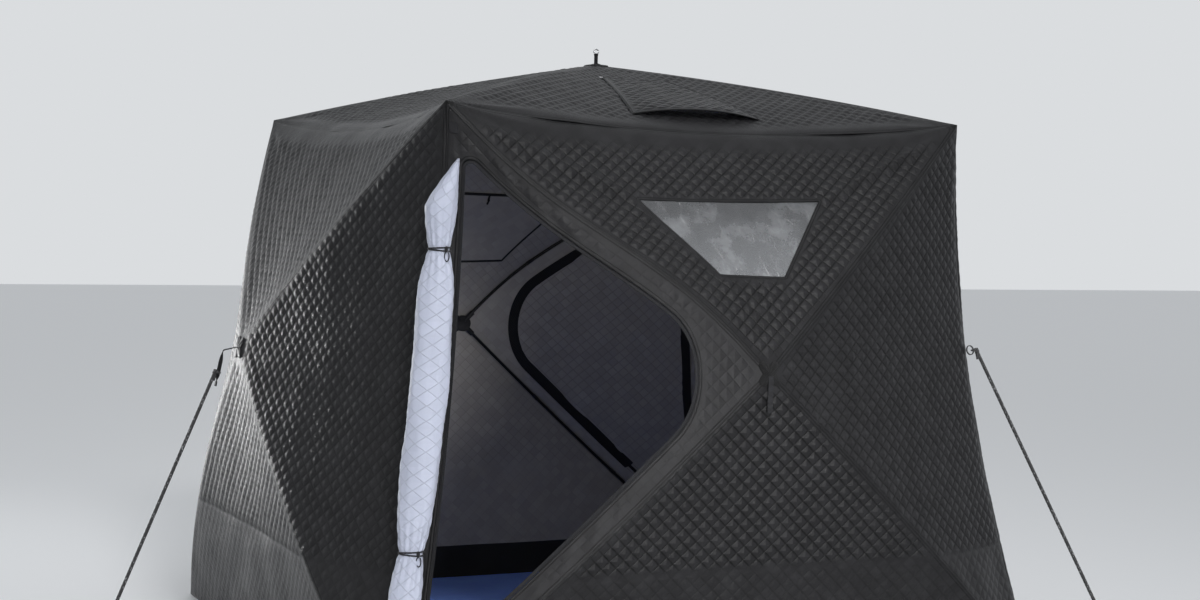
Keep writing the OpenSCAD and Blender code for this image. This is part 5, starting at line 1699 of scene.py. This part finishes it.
class HutDoors(Builder, bpy.types.Operator):
    """Dresses the closed back door and rolls up the front one"""
    bl_idname = "hut.doors"
    bl_label = "Doors"

    def build(self, finish):
        cloth_panel("back_door_flap", "left", BACK, finish("outer_cloth", "inner_cloth"),
                    finish.lattice, RNG_SEED + 110, border=door_outline(FLAP_INSET))
        door_roll(finish("roll_cloth"))
        webbing = finish("black_webbing")
        ties = joined("roll_ties_cord", roll_tie(UPPER_TIE) + roll_tie(LOWER_TIE), webbing)
        dressed(ties, "roll_ties")
        dressed(joined("door_zips_sewn", door_zips(), webbing), "door_zips")


def crinkled(seed):
    """Lift of the creased film at each of its points."""
    def lift(flat, gap):
        wave = lumps(flat, seed, 0.23, 4) + 0.6 * np.abs(lumps(flat, seed + 3, 0.13, 3))
        return 0.0016 * wave * smooth(0, 0.03, gap)
    return lift


def slack(flat, gap):
    """Lift of the soft blackout cover at each of its points."""
    return -0.0015 * np.abs(lumps(flat, 21, 0.3, 3)) * smooth(0, 0.05, gap)


class HutWindows(Builder, bpy.types.Operator):
    """Adds the creased window films and the blackout cover of the back window"""
    bl_idname = "hut.windows"
    bl_label = "Windows"

    def build(self, finish):
        facet = Facet("top", DOOR_SWAY)
        for wall, turn, seed in (("front", FRONT, 5), ("back", BACK, 6)):
            film, _ = facet_patch(wall + "_window_film", facet, window_outline(-SEAT), FILM_DEPTH,
                                  FILM_T, turn, finish("film"), 0.006, crinkled(seed))
            dressed(film, "window_films")
        outline = window_outline(COVER_GROW)
        cover, area = facet_patch("back_window_cover_cloth", facet, outline, COVER_DEPTH, COVER_T,
                                  BACK, finish("inner_cloth"), 0.008, slack)
        dressed(cover, "back_window_cover")
        trim = joined("back_window_cover_binding", cover_trim(facet), finish("black_webbing"),
                      (BACK,))
        dressed(trim, "back_window_cover")
        flat = np.ptp(on_chord_plane(facet, outline), axis=0)


class HutMat(Builder, bpy.types.Operator):
    """Lays the floor mat"""
    bl_idname = "hut.mat"
    bl_label = "Floor mat"

    def build(self, finish):
        floor_mat(finish("mat_cloth"))


class HutFrame(Builder, bpy.types.Operator):
    """Makes the poles, and gives the hubs, the corner sockets and the anchors their finishes"""
    bl_idname = "hut.frame"
    bl_label = "Frame"

    def build(self, finish):
        for node in NODES:
            if node.endswith(("_hub", "_sockets", "_anchors")):
                materials = bpy.data.objects[node].data.materials
                materials.clear()
                materials.append(*finish("steel" if node == "ice_anchors" else "moulded_nylon"))
        all_poles(finish("pole_gloss", "black_webbing"))


class HutTrim(Builder, bpy.types.Operator):
    """Sews on the hub patches, the straps, the corner tabs and the roof loop"""
    bl_idname = "hut.trim"
    bl_label = "Straps and patches"

    def build(self, finish):
        webbing = finish("black_webbing")
        patches, straps, tabs = [hub_patch(roof_points)], [], []
        for _, turn in WALLS:
            def beside_hub(flat, depth, sway=sway_of(turn)):
                return wall_points(flat + [0, HUB_H], depth, sway)

            patches += all_turned([hub_patch(beside_hub)], turn)
            if turn != LEFT:
                straps += all_turned(hanging_strap(), turn)
            if sway_of(turn):
                tabs += all_turned(corner_tab(Facet("left", DOOR_SWAY)), turn)
        straps += [left_strap(), corner_loop()]
        # The front, right and back hub patches take the darker patch cloth: painted shade of their
        # folds.
        dressed(joined("hub_patches_sewn", patches, finish("outer_cloth", "patch_cloth"),
                       material_of_part=[0, 1, 1, 1, 0]), "hub_patches")
        dressed(joined("pull_straps_sewn", straps, webbing), "pull_straps")
        dressed(joined("corner_tabs_sewn", tabs, webbing), "corner_tabs")
        roof_loop(finish("black_webbing", "steel"))


class HutRopes(Builder, bpy.types.Operator):
    """Runs the two guy ropes to their anchors"""
    bl_idname = "hut.ropes"
    bl_label = "Ropes"

    def build(self, finish):
        dressed(joined("guy_ropes_braid", both_ropes(), finish("braid")), "guy_ropes")


class HutPanel(bpy.types.Panel):
    """Lists the hut's operators, sizes and colours"""
    bl_idname = "HUT_PT_panel"
    bl_label = "Fishing hut"
    bl_space_type = "VIEW_3D"
    bl_region_type = "UI"
    bl_category = "Fishing hut"

    def draw(self, context):
        for operator in OPERATORS:
            self.layout.operator(operator.bl_idname)
        for group in (getattr(context.scene, name) for name in GROUPS):
            for name in group.bl_rna.properties.keys():
                if name not in ("rna_type", "name"):
                    self.layout.prop(group, name)


OPERATORS = [HutStage, HutFrame, HutWalls, HutRoof, HutDoors, HutWindows, HutTrim, HutRopes, HutMat]
CLASSES = [HutSizes, HutColours, HutLight, *OPERATORS, HutPanel]
GROUPS = {"hut_sizes": HutSizes, "hut_colours": HutColours, "hut_light": HutLight}


def register():
    for each in CLASSES:
        bpy.utils.register_class(each)
    for name, group in GROUPS.items():
        setattr(bpy.types.Scene, name, bpy.props.PointerProperty(type=group))


def unregister():
    for name in GROUPS:
        delattr(bpy.types.Scene, name)
    for each in reversed(CLASSES):
        bpy.utils.unregister_class(each)


def main():
    register()
    bpy.ops.hut.stage()
    bpy.ops.hut.frame()
    bpy.ops.hut.walls()
    bpy.ops.hut.roof()
    bpy.ops.hut.doors()
    bpy.ops.hut.windows()
    bpy.ops.hut.trim()
    bpy.ops.hut.ropes()
    bpy.ops.hut.mat()


if __name__ == "__main__":
    main()
